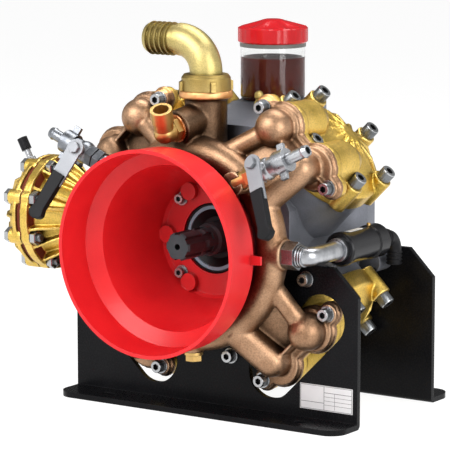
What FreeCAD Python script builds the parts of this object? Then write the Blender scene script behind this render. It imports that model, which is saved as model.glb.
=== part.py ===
import FreeCAD, Part
import math
import os
import re
import Sketcher
from FreeCAD import Placement, Rotation, Vector

# Four-head diaphragm pump on two foot brackets, driven by a splined shaft.
# Millimetres.  Each piece is drawn in its own frame and then seated in the pump:
# x to the right as seen from the shaft end, y up, z forward along the shaft axis.
# The document has +Y towards the rear and +Z up, and its origin lies on the floor,
# in the middle of the four foot slots.

doc = FreeCAD.newDocument("diaphragm_pump")
sheet = doc.addObject("Spreadsheet::Sheet", "sizes")

SIZES = (
    ("shaft_height", "214", "height of the shaft axis above the floor"),
    ("case_front", "78", "front face of the crankcase, ahead of the head axes"),
    ("bracket_seat", "86", "rear face of a bracket plate, ahead of the head axes"),
    ("case_back", "86", "rear face of the crankcase, behind the head axes"),
    ("case_side", "102", "half width of the crankcase at the shaft axis"),
    ("case_flank", "40", "half height of the flat on the crankcase flank"),
    ("case_top", "159", "crankcase top pad above the shaft axis"),
    ("case_brow", "140", "front edge of the top pad above the shaft axis"),
    ("case_bottom", "158", "crankcase sump below the shaft axis"),
    ("case_pad_half", "52", "half width of the top pad and the sump"),
    ("case_skirt", "124", "radius of the rear drum across its flats"),
    ("tower_radius", "75", "cylinder tower that carries a head"),
    ("lug_radius", "14", "crankcase lug behind a bracket screw"),
    ("lug_length", "30", "length of a crankcase lug"),
    ("front_cover_radius", "88", "front bearing cover"),
    ("cover_face", "88", "front face of the bearing cover, guard seat"),
    ("rear_cover_radius", "74", "rear bearing cover"),
    ("rear_cover_depth", "14", "thickness of the rear cover flange"),
    ("rear_boss_radius", "40", "bearing boss on the rear cover"),
    ("rear_boss_depth", "16", "length of the bearing boss"),
    ("head_angle", "45", "angle of the first head from the right"),
    ("head_seat", "131", "radius of the face that a head sits on"),
    ("head_spot", "90", "radius of the spot face that a head sits in"),
    ("head_saddle", "16", "saddle under the barrels, out from the head seat"),
    ("head_radius", "78", "round part of a head"),
    ("head_centre", "1", "head axis ahead of the crankcase middle"),
    ("head_rim", "25", "thickness of the head rim"),
    ("head_dome", "70", "foot radius of the dome"),
    ("head_crown", "178", "top of the dome, from the shaft axis"),
    ("head_screw_side", "66", "head screws, sideways"),
    ("head_screw_step", "34", "head screws, fore and aft of the head axis"),
    ("head_screw_mid", "57", "front middle head screw, ahead of the head axis"),
    ("head_screw_rear", "72", "rear middle head screw, behind the head axis"),
    ("head_hub", "22", "hub of the ribs behind the head axis"),
    ("rib_reach", "56", "length of a head rib from the hub"),
    ("rib_proud", "4", "height of the rib hub above the dome"),
    ("head_lobe", "12.5", "radius of a head screw lobe"),
    ("head_boss_top", "170", "seat of the head screws, from the shaft axis"),
    ("rib_width", "5", "thickness of a head rib"),
    ("port_half", "33", "half the distance between a head's two ports"),
    ("port_reach", "172", "port axes from the shaft axis"),
    ("barrel_radius", "27", "valve chamber barrel on a head"),
    ("barrel_back", "30", "rear end of the barrels, ahead of the head axes"),
    ("barrel_nose", "24", "length of the tapered barrel end"),
    ("ear_half", "64.5", "half the distance between the port flange screws"),
    ("ear_radius", "12", "ear of the port flange round its screw"),
    ("flange_step", "3", "step of the lower port flange beyond the upper one"),
    ("head_face", "84", "front face of a head, where the port flange seats"),
    ("head_flange", "9", "thickness of the flange on a head"),
    ("flange_layer", "6", "thickness of each layer of the port flange"),
    ("ring_forward", "134", "manifold ring ahead of the crankcase middle"),
    ("ring_radius", "113", "centre line radius of the manifold ring"),
    ("ring_tube", "19", "radius of the manifold tube"),
    ("drain_boss", "13", "boss of the drain plug under the ring"),
    ("drain_seat", "134", "seat of the drain plug below the shaft axis"),
    ("drain_collar", "11.5", "collar of the drain plug"),
    ("drain_hex", "9.5", "half across flats of the drain plug"),
    ("drain_length", "11", "length of the drain plug"),
    ("ball_radius", "23", "spherical end port"),
    ("ball_forward", "107", "ball centre ahead of the crankcase middle"),
    ("ball_pipe", "12", "radius of the pipe from the ring to a ball"),
    ("ball_pipe_swing", "27", "angle from the head axis to the pipe root"),
    ("elbow_tube", "19.5", "radius of the elbow port"),
    ("elbow_half", "28", "elbow port from the head axis, sideways"),
    ("elbow_reach", "168", "elbow port from the shaft axis"),
    ("elbow_forward", "112", "elbow port ahead of the crankcase middle"),
    ("web_thick", "8", "flat web between the ports of one head"),
    ("web_foot", "92", "outer edge of the web, ahead of the crankcase middle"),
    ("fin_drop", "16", "fin between the ports, behind the ring plane"),
    ("fin_thick", "4", "thin fin beside the ports"),
    ("bracket_half", "208", "half width of a bracket"),
    ("bracket_thick", "7", "plate thickness of a bracket"),
    ("bracket_top", "194", "top edge of a bracket above the floor"),
    ("bracket_chamfer", "34", "corner cut of a bracket"),
    ("bracket_mouth", "112", "radius of the cut-out round the pump nose"),
    ("bracket_slot_half", "32", "half width of a port cut-out"),
    ("bracket_slot_reach", "83", "half length of a port cut-out"),
    ("foot_depth", "46", "foot flange, from the plate face outwards"),
    ("foot_corner", "22", "corner radius of a foot"),
    ("foot_slot_across", "142", "foot slot from the middle, sideways"),
    ("foot_slot_out", "24", "foot slot from the plate face"),
    ("foot_slot_half", "9", "half length of a foot slot"),
    ("foot_slot_radius", "5", "half width of a foot slot"),
    ("screw_side_across", "136", "upper bracket screws, sideways"),
    ("screw_side_drop", "37", "upper bracket screws below the shaft axis"),
    ("screw_low_across", "27", "lower bracket screws, sideways"),
    ("screw_low_drop", "143", "lower bracket screws below the shaft axis"),
    ("guard_rim_radius", "125.5", "outer radius of the guard rim"),
    ("guard_rim_forward", "239", "guard rim ahead of the crankcase middle"),
    ("guard_lip", "4", "height of the guard lip"),
    ("guard_wall", "3.5", "guard wall"),
    ("guard_floor", "4", "thickness of the guard floor"),
    ("guard_floor_radius", "74", "floor of the guard, to the wall"),
    ("guard_skirt", "44", "depth of the guard skirt behind the rim"),
    ("guard_skirt_taper", "4", "skirt narrower at its inner end"),
    ("guard_band", "12", "depth of the conical band inside the skirt"),
    ("guard_step", "17", "conical band, narrower than the skirt"),
    ("guard_bowl", "700", "radius of the curved bowl wall"),
    ("guard_tab", "13", "length of the guard tab"),
    ("guard_tab_half", "5", "half width of the guard tab"),
    ("guard_bore", "43.8", "hole in the guard floor round the seal carrier"),
    ("guard_moon", "11", "radius of a half-moon boss on the guard floor"),
    ("guard_moon_height", "7", "height of a half-moon boss"),
    ("seal_carrier_radius", "43.5", "black seal carrier"),
    ("seal_carrier_proud", "-2", "face of the seal carrier ahead of the guard floor"),
    ("seal_ring_outer", "40.3", "steel ring of the seal"),
    ("seal_ring_inner", "36", "rubber lip seal in the steel ring"),
    ("seal_recess", "9", "lip seal behind the face of its carrier"),
    ("running_clearance", "0.05", "radial clearance of the turning shaft"),
    ("shaft_radius", "17.45", "splined shaft, outer radius"),
    ("spline_root", "14.8", "radius at the root of the splines"),
    ("spline_key", "8.7", "width of a spline key"),
    ("spline_length", "55", "length of the splines"),
    ("spline_count", "6", "number of splines"),
    ("shaft_tip", "169", "shaft tip ahead of the crankcase middle"),
    ("shaft_tail", "80", "inner end of the shaft piece"),
    ("shaft_collar", "20", "radius of the shaft in the lip seal"),
    ("shaft_chamfer", "2", "chamfer at the shaft tip"),
    ("lock_groove_back", "38", "locking groove behind the tip"),
    ("lock_groove_radius", "6.8", "radius of the locking groove section"),
    ("lock_groove_floor", "14.7", "shaft radius at the locking groove"),
    ("centre_hole", "3.75", "centre hole of the shaft"),
    ("centre_hole_depth", "12", "depth of the centre hole"),
    ("suction_forward", "107", "suction tower ahead of the crankcase middle"),
    ("suction_tower", "26", "radius of the suction tower"),
    ("suction_seat", "184", "top of the suction tower above the axis"),
    ("suction_flange", "32.5", "flange of the suction tower"),
    ("suction_flange_thick", "9", "thickness of the tower flange"),
    ("suction_tube", "20", "outer radius of the suction elbow"),
    ("suction_bore", "15", "bore radius of the suction elbow"),
    ("suction_bend", "38", "bend radius of the suction elbow"),
    ("suction_rise", "206", "start of the bend above the shaft axis"),
    ("suction_reach", "83", "open end of the suction elbow, to the left"),
    ("suction_barb", "20.6", "radius over the hose ridges"),
    ("barb_height", "3", "height of a hose ridge"),
    ("suction_barb_pitch", "7.4", "pitch of the hose ridges"),
    ("suction_barb_count", "5", "number of hose ridges"),
    ("nut_radius", "30", "ring nut of the suction elbow"),
    ("nut_height", "20", "height of the ring nut"),
    ("nut_clearance", "0.1", "ring nut clear of the elbow tube"),
    ("branch_radius", "21", "side branch of the suction tower"),
    ("branch_reach", "49", "side branch from the tower axis"),
    ("branch_height", "153", "root of the side branch above the axis"),
    ("washer_radius", "17.5", "copper washer of the side fitting"),
    ("washer_thick", "2.5", "thickness of the copper washer"),
    ("fitting_radius", "13.5", "small brass elbow fitting"),
    ("fitting_bore", "9.6", "open mouth of the small elbow"),
    ("fitting_leg", "17", "first leg of the small elbow"),
    ("fitting_rise", "34", "second leg of the small elbow"),
    ("fitting_mouth_depth", "24", "depth of the open mouth"),
    ("cup_back", "42", "oil cup axis behind the crankcase middle"),
    ("cup_radius", "40.5", "outer radius of the oil cup"),
    ("cup_wall", "3", "wall of the oil cup"),
    ("cup_floor", "5", "floor of the oil cup"),
    ("cup_taper", "4.5", "taper at the foot of the oil cup"),
    ("cup_height", "67", "height of the oil cup to the seal"),
    ("oil_height", "54", "oil level above the cup foot"),
    ("cap_seal_radius", "41.5", "grey seal under the cap"),
    ("cap_seal_height", "5", "height of the grey seal"),
    ("cap_radius", "44", "red cap of the oil cup"),
    ("cap_skirt", "20", "height of the straight side of the cap"),
    ("cap_crown", "9", "rise of the domed cap"),
    ("cap_knob", "9", "radius of the flat on top of the cap"),
    ("accu_height", "21", "accumulator axis above the shaft axis"),
    ("accu_root", "140", "accumulator neck, to the left of the axis"),
    ("accu_neck", "20", "radius of the accumulator neck"),
    ("accu_joint", "213", "middle of the accumulator flanges"),
    ("accu_flange", "71", "radius of the accumulator flanges"),
    ("accu_flange_thick", "11", "thickness of one accumulator flange"),
    ("accu_rubber", "1.6", "rubber between the accumulator flanges"),
    ("accu_shell", "56", "radius of the bells at the flange"),
    ("accu_inner_nose", "36", "radius of the inner bell near its neck"),
    ("accu_outer_depth", "31", "depth of the outer bell beyond its flange"),
    ("accu_outer_nose", "30", "radius of the flat end of the outer bell"),
    ("accu_rib", "4", "thickness of an accumulator rib"),
    ("accu_rib_count", "16", "ribs round the outer bell"),
    ("accu_rib_spread", "14", "feet of a pair of ribs on the inner bell, either side of its bolt"),
    ("accu_bolt_circle", "63", "bolt circle of the accumulator"),
    ("accu_bolt_boss", "10", "radius of a bolt boss"),
    ("accu_bolt_turn", "22.5", "first bolt, up from the forward direction"),
    ("accu_bolt_count", "8", "bolts of the accumulator"),
    ("accu_boss_out", "20", "bolt boss of the outer bell, from the joint"),
    ("accu_boss_in", "12", "bolt boss of the inner bell, from the joint"),
    ("accu_groove", "5", "depth and width of the groove in the flange rim"),
    ("air_stem", "4", "radius of the air valve stem"),
    ("air_boss", "8", "radius of the air valve boss on the outer bell"),
    ("air_stem_length", "17", "length of the air valve stem"),
    ("air_cap", "6.5", "radius of the air valve cap"),
    ("air_cap_length", "16", "length of the air valve cap"),
    ("valve_forward", "172", "ball valve axes ahead of the crankcase middle"),
    ("valve_root_radius", "10.5", "radius of the valve nipple"),
    ("valve_boss_wall", "4", "ring boss round a valve nipple"),
    ("valve_boss_top", "10", "ring boss ahead of the valve axis"),
    ("valve_boss_depth", "17", "socket of a valve nipple in its boss"),
    ("valve_body_radius", "12", "ball valve body"),
    ("valve_body_half", "17", "half length of the ball valve body"),
    ("valve_hex", "14", "across corners half of the valve hexagons"),
    ("valve_nut_radius", "14.5", "wing nut of the valve"),
    ("valve_nut_length", "16", "length of the wing nut"),
    ("valve_tail_radius", "7", "hose tail of the valve"),
    ("valve_tail_bore", "4.5", "bore of the valve hose tail"),
    ("valve_stem_radius", "6", "stem of the valve lever"),
    ("valve_stem_rise", "25", "lever plate ahead of the valve axis"),
    ("lever_thick", "3", "thickness of the lever plate"),
    ("lever_width", "20", "width of the lever plate"),
    ("lever_length", "36", "bare part of the lever from its pivot"),
    ("lever_clearance", "0.3", "lever hub clear of the valve body"),
    ("grip_length", "62", "length of the lever grip"),
    ("grip_width", "20", "width of the grip at its end"),
    ("grip_thick", "9", "thickness of the grip"),
    ("right_valve_across", "129.8", "pivot of the right valve, to the right"),
    ("right_valve_up", "105", "pivot of the right valve above the axis"),
    ("right_valve_tilt", "25", "right valve above the horizontal"),
    ("right_valve_nipple", "30", "nipple of the right valve"),
    ("right_valve_tail", "30", "hose tail of the right valve"),
    ("left_valve_across", "134.3", "pivot of the left valve, to the left"),
    ("left_valve_up", "105.3", "pivot of the left valve above the axis"),
    ("left_valve_tilt", "22.5", "left valve above the horizontal"),
    ("left_valve_nipple", "30", "nipple of the left valve"),
    ("left_valve_tail", "23", "hose tail of the left valve"),
    ("right_valve_turn", "22", "right valve stem above the forward direction"),
    ("left_valve_turn", "20", "left valve stem above the forward direction"),
    ("right_lever_swing", "4", "right lever turned from square to its valve"),
    ("left_lever_swing", "2", "left lever turned from square to its valve"),
    ("relief_drop", "2", "safety valve branch below the shaft axis"),
    ("relief_root", "134", "end of the ring boss of the safety valve"),
    ("relief_hex", "15", "half across flats of the safety valve nut"),
    ("relief_nut_length", "17", "length of the safety valve nut"),
    ("relief_tube", "11.5", "radius of the chrome elbow"),
    ("relief_across", "165.5", "safety valve axis, to the right"),
    ("relief_front", "67", "front end of the safety valve body"),
    ("relief_body_radius", "21", "safety valve body"),
    ("relief_body_length", "95", "length of the safety valve body"),
    ("relief_tail_radius", "9", "hose tail of the safety valve"),
    ("relief_tail_run", "18", "straight start of the safety valve hose tail"),
    ("relief_tail_bore", "6", "bore of the safety valve hose tail"),
    ("relief_tail_bend", "18", "bend radius of the safety valve hose tail"),
    ("relief_tail_drop", "18", "straight end of the safety valve hose tail"),
)

row = 1
for alias, number, meaning in SIZES:
    sheet.set("A" + str(row), alias)
    sheet.set("B" + str(row), number)
    sheet.setAlias("B" + str(row), alias)
    sheet.set("C" + str(row), meaning)
    row += 1
doc.recompute()
aliases = {alias for alias, number, meaning in SIZES}
nodes = []


def formula(text):
    """A formula of size names, written as the document reads it."""
    return re.sub(r"[a-z_][a-z_0-9]*",
                  lambda word: "sizes." + word.group() if word.group() in aliases else word.group(),
                  str(text))


def size(text):
    """The number that a formula of size names gives."""
    return float(sheet.evalExpression(formula(text)))


def bind(item, **formulas):
    """Ties properties of an object to formulas of size names."""
    for name, text in formulas.items():
        item.setExpression(name, formula(text))
    return item


def outline(body, name, corners, plane="XZ_Plane", lift="0"):
    """Closed sketch; a corner is (across, up), or (across, up, radius formula, side) before an arc.

    The side is 1 where the arc bulges to the left of the way along the outline, -1 to the right.
    """
    sketch = body.newObject("Sketcher::SketchObject", name)
    support = [item for item in body.Origin.OriginFeatures if item.Role == plane][0]
    sketch.AttachmentSupport = [(support, "")]
    sketch.MapMode = "FlatFace"
    sketch.AttachmentOffset = Placement(Vector(0, 0, size(lift)), Rotation())
    places = [Vector(size(corner[0]), size(corner[1]), 0) for corner in corners]
    count = len(corners)
    starts = []
    ends = []
    for index, corner in enumerate(corners):
        here = places[index]
        there = places[(index + 1) % count]
        if len(corner) == 2:
            sketch.addGeometry(Part.LineSegment(here, there), False)
            starts.append(1)
            ends.append(2)
            continue
        radius = size(corner[2])
        chord = there - here
        sagitta = radius - math.sqrt(max(radius ** 2 - (chord.Length / 2) ** 2, 0))
        left = Vector(-chord.y, chord.x, 0).normalize()
        middle = (here + there) * 0.5 + left * sagitta * corner[3]
        sketch.addGeometry(Part.Arc(here, middle, there), False)
        starts.append(1 if corner[3] < 0 else 2)
        ends.append(2 if corner[3] < 0 else 1)
    for index in range(count):
        after = (index + 1) % count
        sketch.addConstraint(Sketcher.Constraint("Coincident", index, ends[index], after, starts[after]))
    for index, corner in enumerate(corners):
        spot = starts[index]
        across = sketch.addConstraint(
            Sketcher.Constraint("DistanceX", -1, 1, index, spot, places[index].x))
        sketch.setExpression("Constraints[%d]" % across, formula(corner[0]))
        up = sketch.addConstraint(
            Sketcher.Constraint("DistanceY", -1, 1, index, spot, places[index].y))
        sketch.setExpression("Constraints[%d]" % up, formula(corner[1]))
        if len(corner) > 2:
            bend = sketch.addConstraint(Sketcher.Constraint("Radius", index, size(corner[2])))
            sketch.setExpression("Constraints[%d]" % bend, formula(corner[2]))
    return sketch


def circles(body, name, rounds, plane="XY_Plane", lift="0"):
    """Sketch of circles; each is (across, up, radius)."""
    sketch = body.newObject("Sketcher::SketchObject", name)
    support = [item for item in body.Origin.OriginFeatures if item.Role == plane][0]
    sketch.AttachmentSupport = [(support, "")]
    sketch.MapMode = "FlatFace"
    sketch.AttachmentOffset = Placement(Vector(0, 0, size(lift)), Rotation())
    for index, (across, up, radius) in enumerate(rounds):
        centre = Vector(size(across), size(up), 0)
        sketch.addGeometry(Part.Circle(centre, Vector(0, 0, 1), size(radius)), False)
        limits = (("DistanceX", across, centre.x), ("DistanceY", up, centre.y))
        for kind, text, number in limits:
            place = sketch.addConstraint(Sketcher.Constraint(kind, -1, 1, index, 3, number))
            sketch.setExpression("Constraints[%d]" % place, formula(text))
        bend = sketch.addConstraint(Sketcher.Constraint("Radius", index, size(radius)))
        sketch.setExpression("Constraints[%d]" % bend, formula(radius))
    return sketch


def new_body(name):
    return doc.addObject("PartDesign::Body", name)


def turn(body, name, corners):
    """Revolves a half section (radius, height) about the body's z axis."""
    sketch = outline(body, name + "_section", corners)
    solid = body.newObject("PartDesign::Revolution", name)
    solid.Profile = sketch
    solid.ReferenceAxis = (sketch, ["V_Axis"])
    solid.Angle = 360
    doc.recompute()
    return solid


def turned(name, corners):
    """A body that is one turned piece."""
    body = new_body(name)
    turn(body, name + "_turned", corners)
    return body


def pad(body, sketch, length, name, midplane=False, reverse=False):
    solid = body.newObject("PartDesign::Pad", name)
    solid.Profile = sketch
    bind(solid, Length=length)
    solid.Midplane = midplane
    solid.Reversed = reverse
    doc.recompute()
    return solid


def pocket(body, sketch, name, length=None, reverse=False):
    """Cuts a sketch through the body, and checks that material came away."""
    before = body.Shape.Volume
    hole = body.newObject("PartDesign::Pocket", name)
    hole.Profile = sketch
    hole.Reversed = reverse
    if length is None:
        hole.Type = "ThroughAll"
        hole.Midplane = True
    else:
        bind(hole, Length=length)
    doc.recompute()
    if body.Shape.Volume >= before - 0.01:
        raise RuntimeError(name + " cuts nothing")
    return hole


def ring_of(body, feature, name, count, sweep="360"):
    """Repeats a feature round the body's z axis."""
    pattern = body.newObject("PartDesign::PolarPattern", name)
    pattern.Originals = [feature]
    axis = [item for item in body.Origin.OriginFeatures if item.Role == "Z_Axis"][0]
    pattern.Axis = (axis, [""])
    bind(pattern, Angle=sweep, Occurrences=count)
    body.Tip = pattern
    doc.recompute()
    return pattern


def cylinder(name, radius, height, spot=Placement()):
    item = doc.addObject("Part::Cylinder", name)
    bind(item, Radius=radius, Height=height)
    item.Placement = spot
    return item


def cone(name, radius, end_radius, height, spot=Placement()):
    item = doc.addObject("Part::Cone", name)
    bind(item, Radius1=radius, Radius2=end_radius, Height=height)
    item.Placement = spot
    return item


def sphere(name, radius, spot=Placement()):
    item = doc.addObject("Part::Sphere", name)
    bind(item, Radius=radius)
    item.Placement = spot
    return item


def box(name, length, width, height, corner):
    """A block; the corner is its lowest x, y and z."""
    item = doc.addObject("Part::Box", name)
    bind(item, Length=length, Width=width, Height=height)
    item.Placement = Placement(at(*corner), Rotation())
    return item


def hexagon(name, corner_radius, height, spot=Placement()):
    item = doc.addObject("Part::Prism", name)
    item.Polygon = 6
    bind(item, Circumradius=corner_radius, Height=height)
    item.Placement = spot
    return item


def at(across, up, forward):
    """A point given by three formulas."""
    return Vector(size(across), size(up), size(forward))


def along(start, direction, side=Vector(1, 0, 0)):
    """Frame at a point with its z axis along a direction."""
    return Placement(start, Rotation(side, Vector(), direction, "ZXY"))


def fuse(name, items):
    whole = doc.addObject("Part::MultiFuse", name)
    whole.Shapes = items
    return whole


def cut(name, base, tool):
    rest = doc.addObject("Part::Cut", name)
    rest.Base = base
    rest.Tool = tool
    return rest


def seat(item, label, frame):
    """Puts a finished piece in its place in the pump and keeps it as a node."""
    item.Label = label
    item.Placement = frame
    nodes.append(item)
    return item


pump = Placement(Vector(0, 0, size("shaft_height")), Rotation(Vector(1, 0, 0), 90))
up = Vector(0, 1, 0)
right = Vector(1, 0, 0)
forward = Vector(0, 0, 1)
BACKWARD = Rotation(Vector(1, 0, 0), 180)
LIFTED = Rotation(Vector(1, 0, 0), -90)


def head_frame(angle):
    """Frame of a head: x along the rim of the pump, y forward, z outwards from the shaft."""
    turn_angle = math.radians(angle)
    outward = Vector(math.cos(turn_angle), math.sin(turn_angle), 0)
    return pump.multiply(Placement(Vector(), Rotation(Vector(), forward, outward, "ZYX")))


head_angles = [size("head_angle") + 90 * index for index in range(4)]


def make_crankcase():
    """Cast crankcase: octagonal barrel, four cylinder towers, top pad, sump and rear drum."""
    body = new_body("crankcase_core")
    flank = outline(body, "flank", (
        ("case_side", "-case_flank"), ("case_side", "case_flank"),
        ("case_pad_half", "case_brow"), ("-case_pad_half", "case_brow"),
        ("-case_side", "case_flank"), ("-case_side", "-case_flank"),
        ("-case_pad_half", "-case_bottom + 12"), ("case_pad_half", "-case_bottom + 12")), "XY_Plane")
    pad(body, flank, "case_front + case_front", "barrel", midplane=True)
    crest = new_body("crankcase_crest")
    side_view = outline(crest, "crest_view", (
        ("-case_top", "-case_back"), ("-case_top", "case_front * 0.03"),
        ("-case_brow", "case_front"), ("case_bottom - 12", "case_front"),
        ("case_bottom", "case_front - 30"), ("case_bottom", "-case_back")), "XZ_Plane")
    pad(crest, side_view, "case_pad_half * 2", "crest", midplane=True)
    crest.Placement = Placement(Vector(), Rotation(Vector(0, 0, 1), -90))
    towers = [cylinder("tower_%d" % index, "tower_radius", "head_seat",
                       head_placement(angle, "head_centre"))
              for index, angle in enumerate(head_angles)]
    drum = new_body("crankcase_drum")
    small = eight_sided(drum, "drum_front", "case_side", "0")
    large = eight_sided(drum, "drum_rear", "case_skirt", "-case_back * 0.8")
    loft = drum.newObject("PartDesign::AdditiveLoft", "drum_loft")
    loft.Profile = small
    loft.Sections = [large]
    loft.Ruled = True
    doc.recompute()
    tail = eight_sided(drum, "drum_tail", "case_skirt", "-case_back * 0.8")
    pad(drum, tail, "case_back * 0.2", "drum_end", reverse=True)
    lugs = []
    for across, drop in (("screw_side_across", "screw_side_drop"), ("-screw_side_across", "screw_side_drop")):
        for name, start in (("front", "bracket_seat - lug_length"), ("rear", "-bracket_seat")):
            lugs.append(cylinder("lug_" + name, "lug_radius", "lug_length",
                                 Placement(at(across, "-" + drop, start), Rotation())))
            lugs.append(box("lug_arm_" + name, "lug_radius * 2 + 10", "lug_radius * 2", "lug_length",
                            (lug_arm_start(across), "-" + drop + " - lug_radius", start)))
    for across in ("screw_low_across", "-screw_low_across"):
        for name, start in (("front", "case_front - lug_length"), ("rear", "-bracket_seat")):
            lugs.append(cylinder("low_lug_" + name, "lug_radius", "lug_length + bracket_seat - case_front",
                                 Placement(at(across, "-screw_low_drop", start), Rotation())))
    outside = fuse("crankcase_outside", [body, crest, drum] + towers + lugs)
    spots = []
    for index, angle in enumerate(head_angles):
        spot = head_placement(angle, "head_centre").multiply(Placement(at("0", "0", "head_seat"), Rotation()))
        spots.append(cylinder("head_spot_%d" % index, "head_spot", "head_spot", spot))
    return seat(cut("crankcase_casting", outside, fuse("head_spots", spots)), "crankcase", pump)


def lug_arm_start(across):
    """Left edge of the arm between the crankcase flank and a lug."""
    if across.startswith("-"):
        return across
    return across + " - lug_radius * 2 - 10"


def eight_sided(body, name, half, height):
    """Octagon sketch of a given half width across its flats."""
    cut_off = "(" + half + ") * 0.4142"
    return outline(body, name, (
        (half, "-" + cut_off), (half, cut_off), (cut_off, half), ("-" + cut_off, half),
        ("-(" + half + ")", cut_off), ("-(" + half + ")", "-" + cut_off),
        ("-" + cut_off, "-(" + half + ")"), (cut_off, "-(" + half + ")")), "XY_Plane", height)


def head_placement(angle, ahead):
    """Frame on a head axis inside the pump frame, moved forward."""
    turn_angle = math.radians(angle)
    outward = Vector(math.cos(turn_angle), math.sin(turn_angle), 0)
    return Placement(forward * size(ahead), Rotation(Vector(), forward, outward, "ZYX"))


def make_covers():
    front = turned("front_cover", (
        ("seal_carrier_radius + nut_clearance", "case_front"), ("front_cover_radius", "case_front"),
        ("front_cover_radius", "cover_face - 4"), ("front_cover_radius - 4", "cover_face"),
        ("seal_carrier_radius + nut_clearance", "cover_face")))
    seat(front, "front_cover", pump)
    rear = turned("rear_cover", (
        ("0", "0"), ("rear_cover_radius", "0"), ("rear_cover_radius", "rear_cover_depth - 3"),
        ("rear_cover_radius - 3", "rear_cover_depth"), ("rear_boss_radius + 8", "rear_cover_depth"),
        ("rear_boss_radius", "rear_cover_depth + rear_boss_depth - 3"),
        ("rear_boss_radius - 3", "rear_cover_depth + rear_boss_depth"),
        ("0", "rear_cover_depth + rear_boss_depth")))
    frame = Placement(at("0", "0", "-case_back"), BACKWARD)
    seat(rear, "rear_cover", pump.multiply(frame))


def port_flange(name, radius, ear, thick, lift):
    """Elongated flange round the two ports of a head, with an ear at each end; x along, z outwards."""
    items = []
    for side in ("", "-"):
        items.append(cylinder(name + "_round", radius, thick,
                              Placement(at(side + "port_half", lift, "port_reach"), LIFTED)))
        items.append(cylinder(name + "_ear", ear, thick,
                              Placement(at(side + "ear_half", lift, "port_reach"), LIFTED)))
    items.append(box(name + "_bar", "ear_half * 2", thick, "(" + ear + ") * 2",
                     ("-ear_half", lift, "port_reach - (" + ear + ")")))
    return items


def make_head(number, angle):
    """Gilt head: lobed disc, ribbed dome and two valve barrels that end in the port flange."""
    name = "head_%d" % number
    body = new_body(name + "_cover")
    turn(body, name + "_dome", (
        ("0", "head_seat"), ("head_radius", "head_seat"), ("head_radius", "head_seat + head_rim - 3"),
        ("head_radius - 3", "head_seat + head_rim"), ("head_dome", "head_seat + head_rim + 3"),
        ("head_dome - 14", "head_crown - 7"), ("head_dome - 32", "head_crown - 1"), ("0", "head_crown")))
    spots = [("0", "head_screw_mid"), ("0", "-head_screw_rear")]
    for side in ("", "-"):
        spots.append((side + "head_screw_side", "head_screw_step"))
        spots.append((side + "head_screw_side", "-head_screw_step"))
    lobes = circles(body, name + "_lobes", [(across, ahead, "head_lobe") for across, ahead in spots],
                    "XY_Plane", "head_seat")
    pad(body, lobes, "head_boss_top - head_seat", name + "_screw_bosses")
    body.Placement = Placement(at("0", "head_centre", "0"), Rotation())
    fan = new_body(name + "_fan")
    rib = outline(fan, name + "_rib_view", (
        ("-rib_reach", "head_seat + 5"), ("-rib_reach", "head_crown - 9"),
        ("-rib_reach * 0.7", "head_crown - 2"), ("-rib_reach * 0.2", "head_crown + rib_proud"),
        ("0", "head_crown + rib_proud"), ("0", "head_seat + 5")))
    first = pad(fan, rib, "rib_width", name + "_rib", midplane=True)
    ring_of(fan, first, name + "_ribs", "7", "-180")
    fan.Placement = Placement(at("0", "head_centre - head_hub", "0"), Rotation())
    items = [body, fan]
    for side in ("", "-"):
        spot = Placement(at(side + "port_half", "barrel_back", "port_reach"), LIFTED)
        items.append(cylinder(name + "_barrel", "barrel_radius", "head_face - barrel_back", spot))
        tail = Placement(at(side + "port_half", "barrel_back", "port_reach"), Rotation(Vector(1, 0, 0), 90))
        items.append(cone(name + "_nose", "barrel_radius", "barrel_radius - 12", "barrel_nose", tail))
    items.append(box(name + "_saddle", "port_half * 2", "head_face - barrel_back",
                     "port_reach - head_seat - head_saddle",
                     ("-port_half", "barrel_back", "head_seat + head_saddle")))
    items += port_flange(name + "_flange", "barrel_radius + 2", "ear_radius + 2", "head_flange",
                         "head_face - head_flange")
    return seat(fuse(name, items), name, head_frame(angle))


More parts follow.
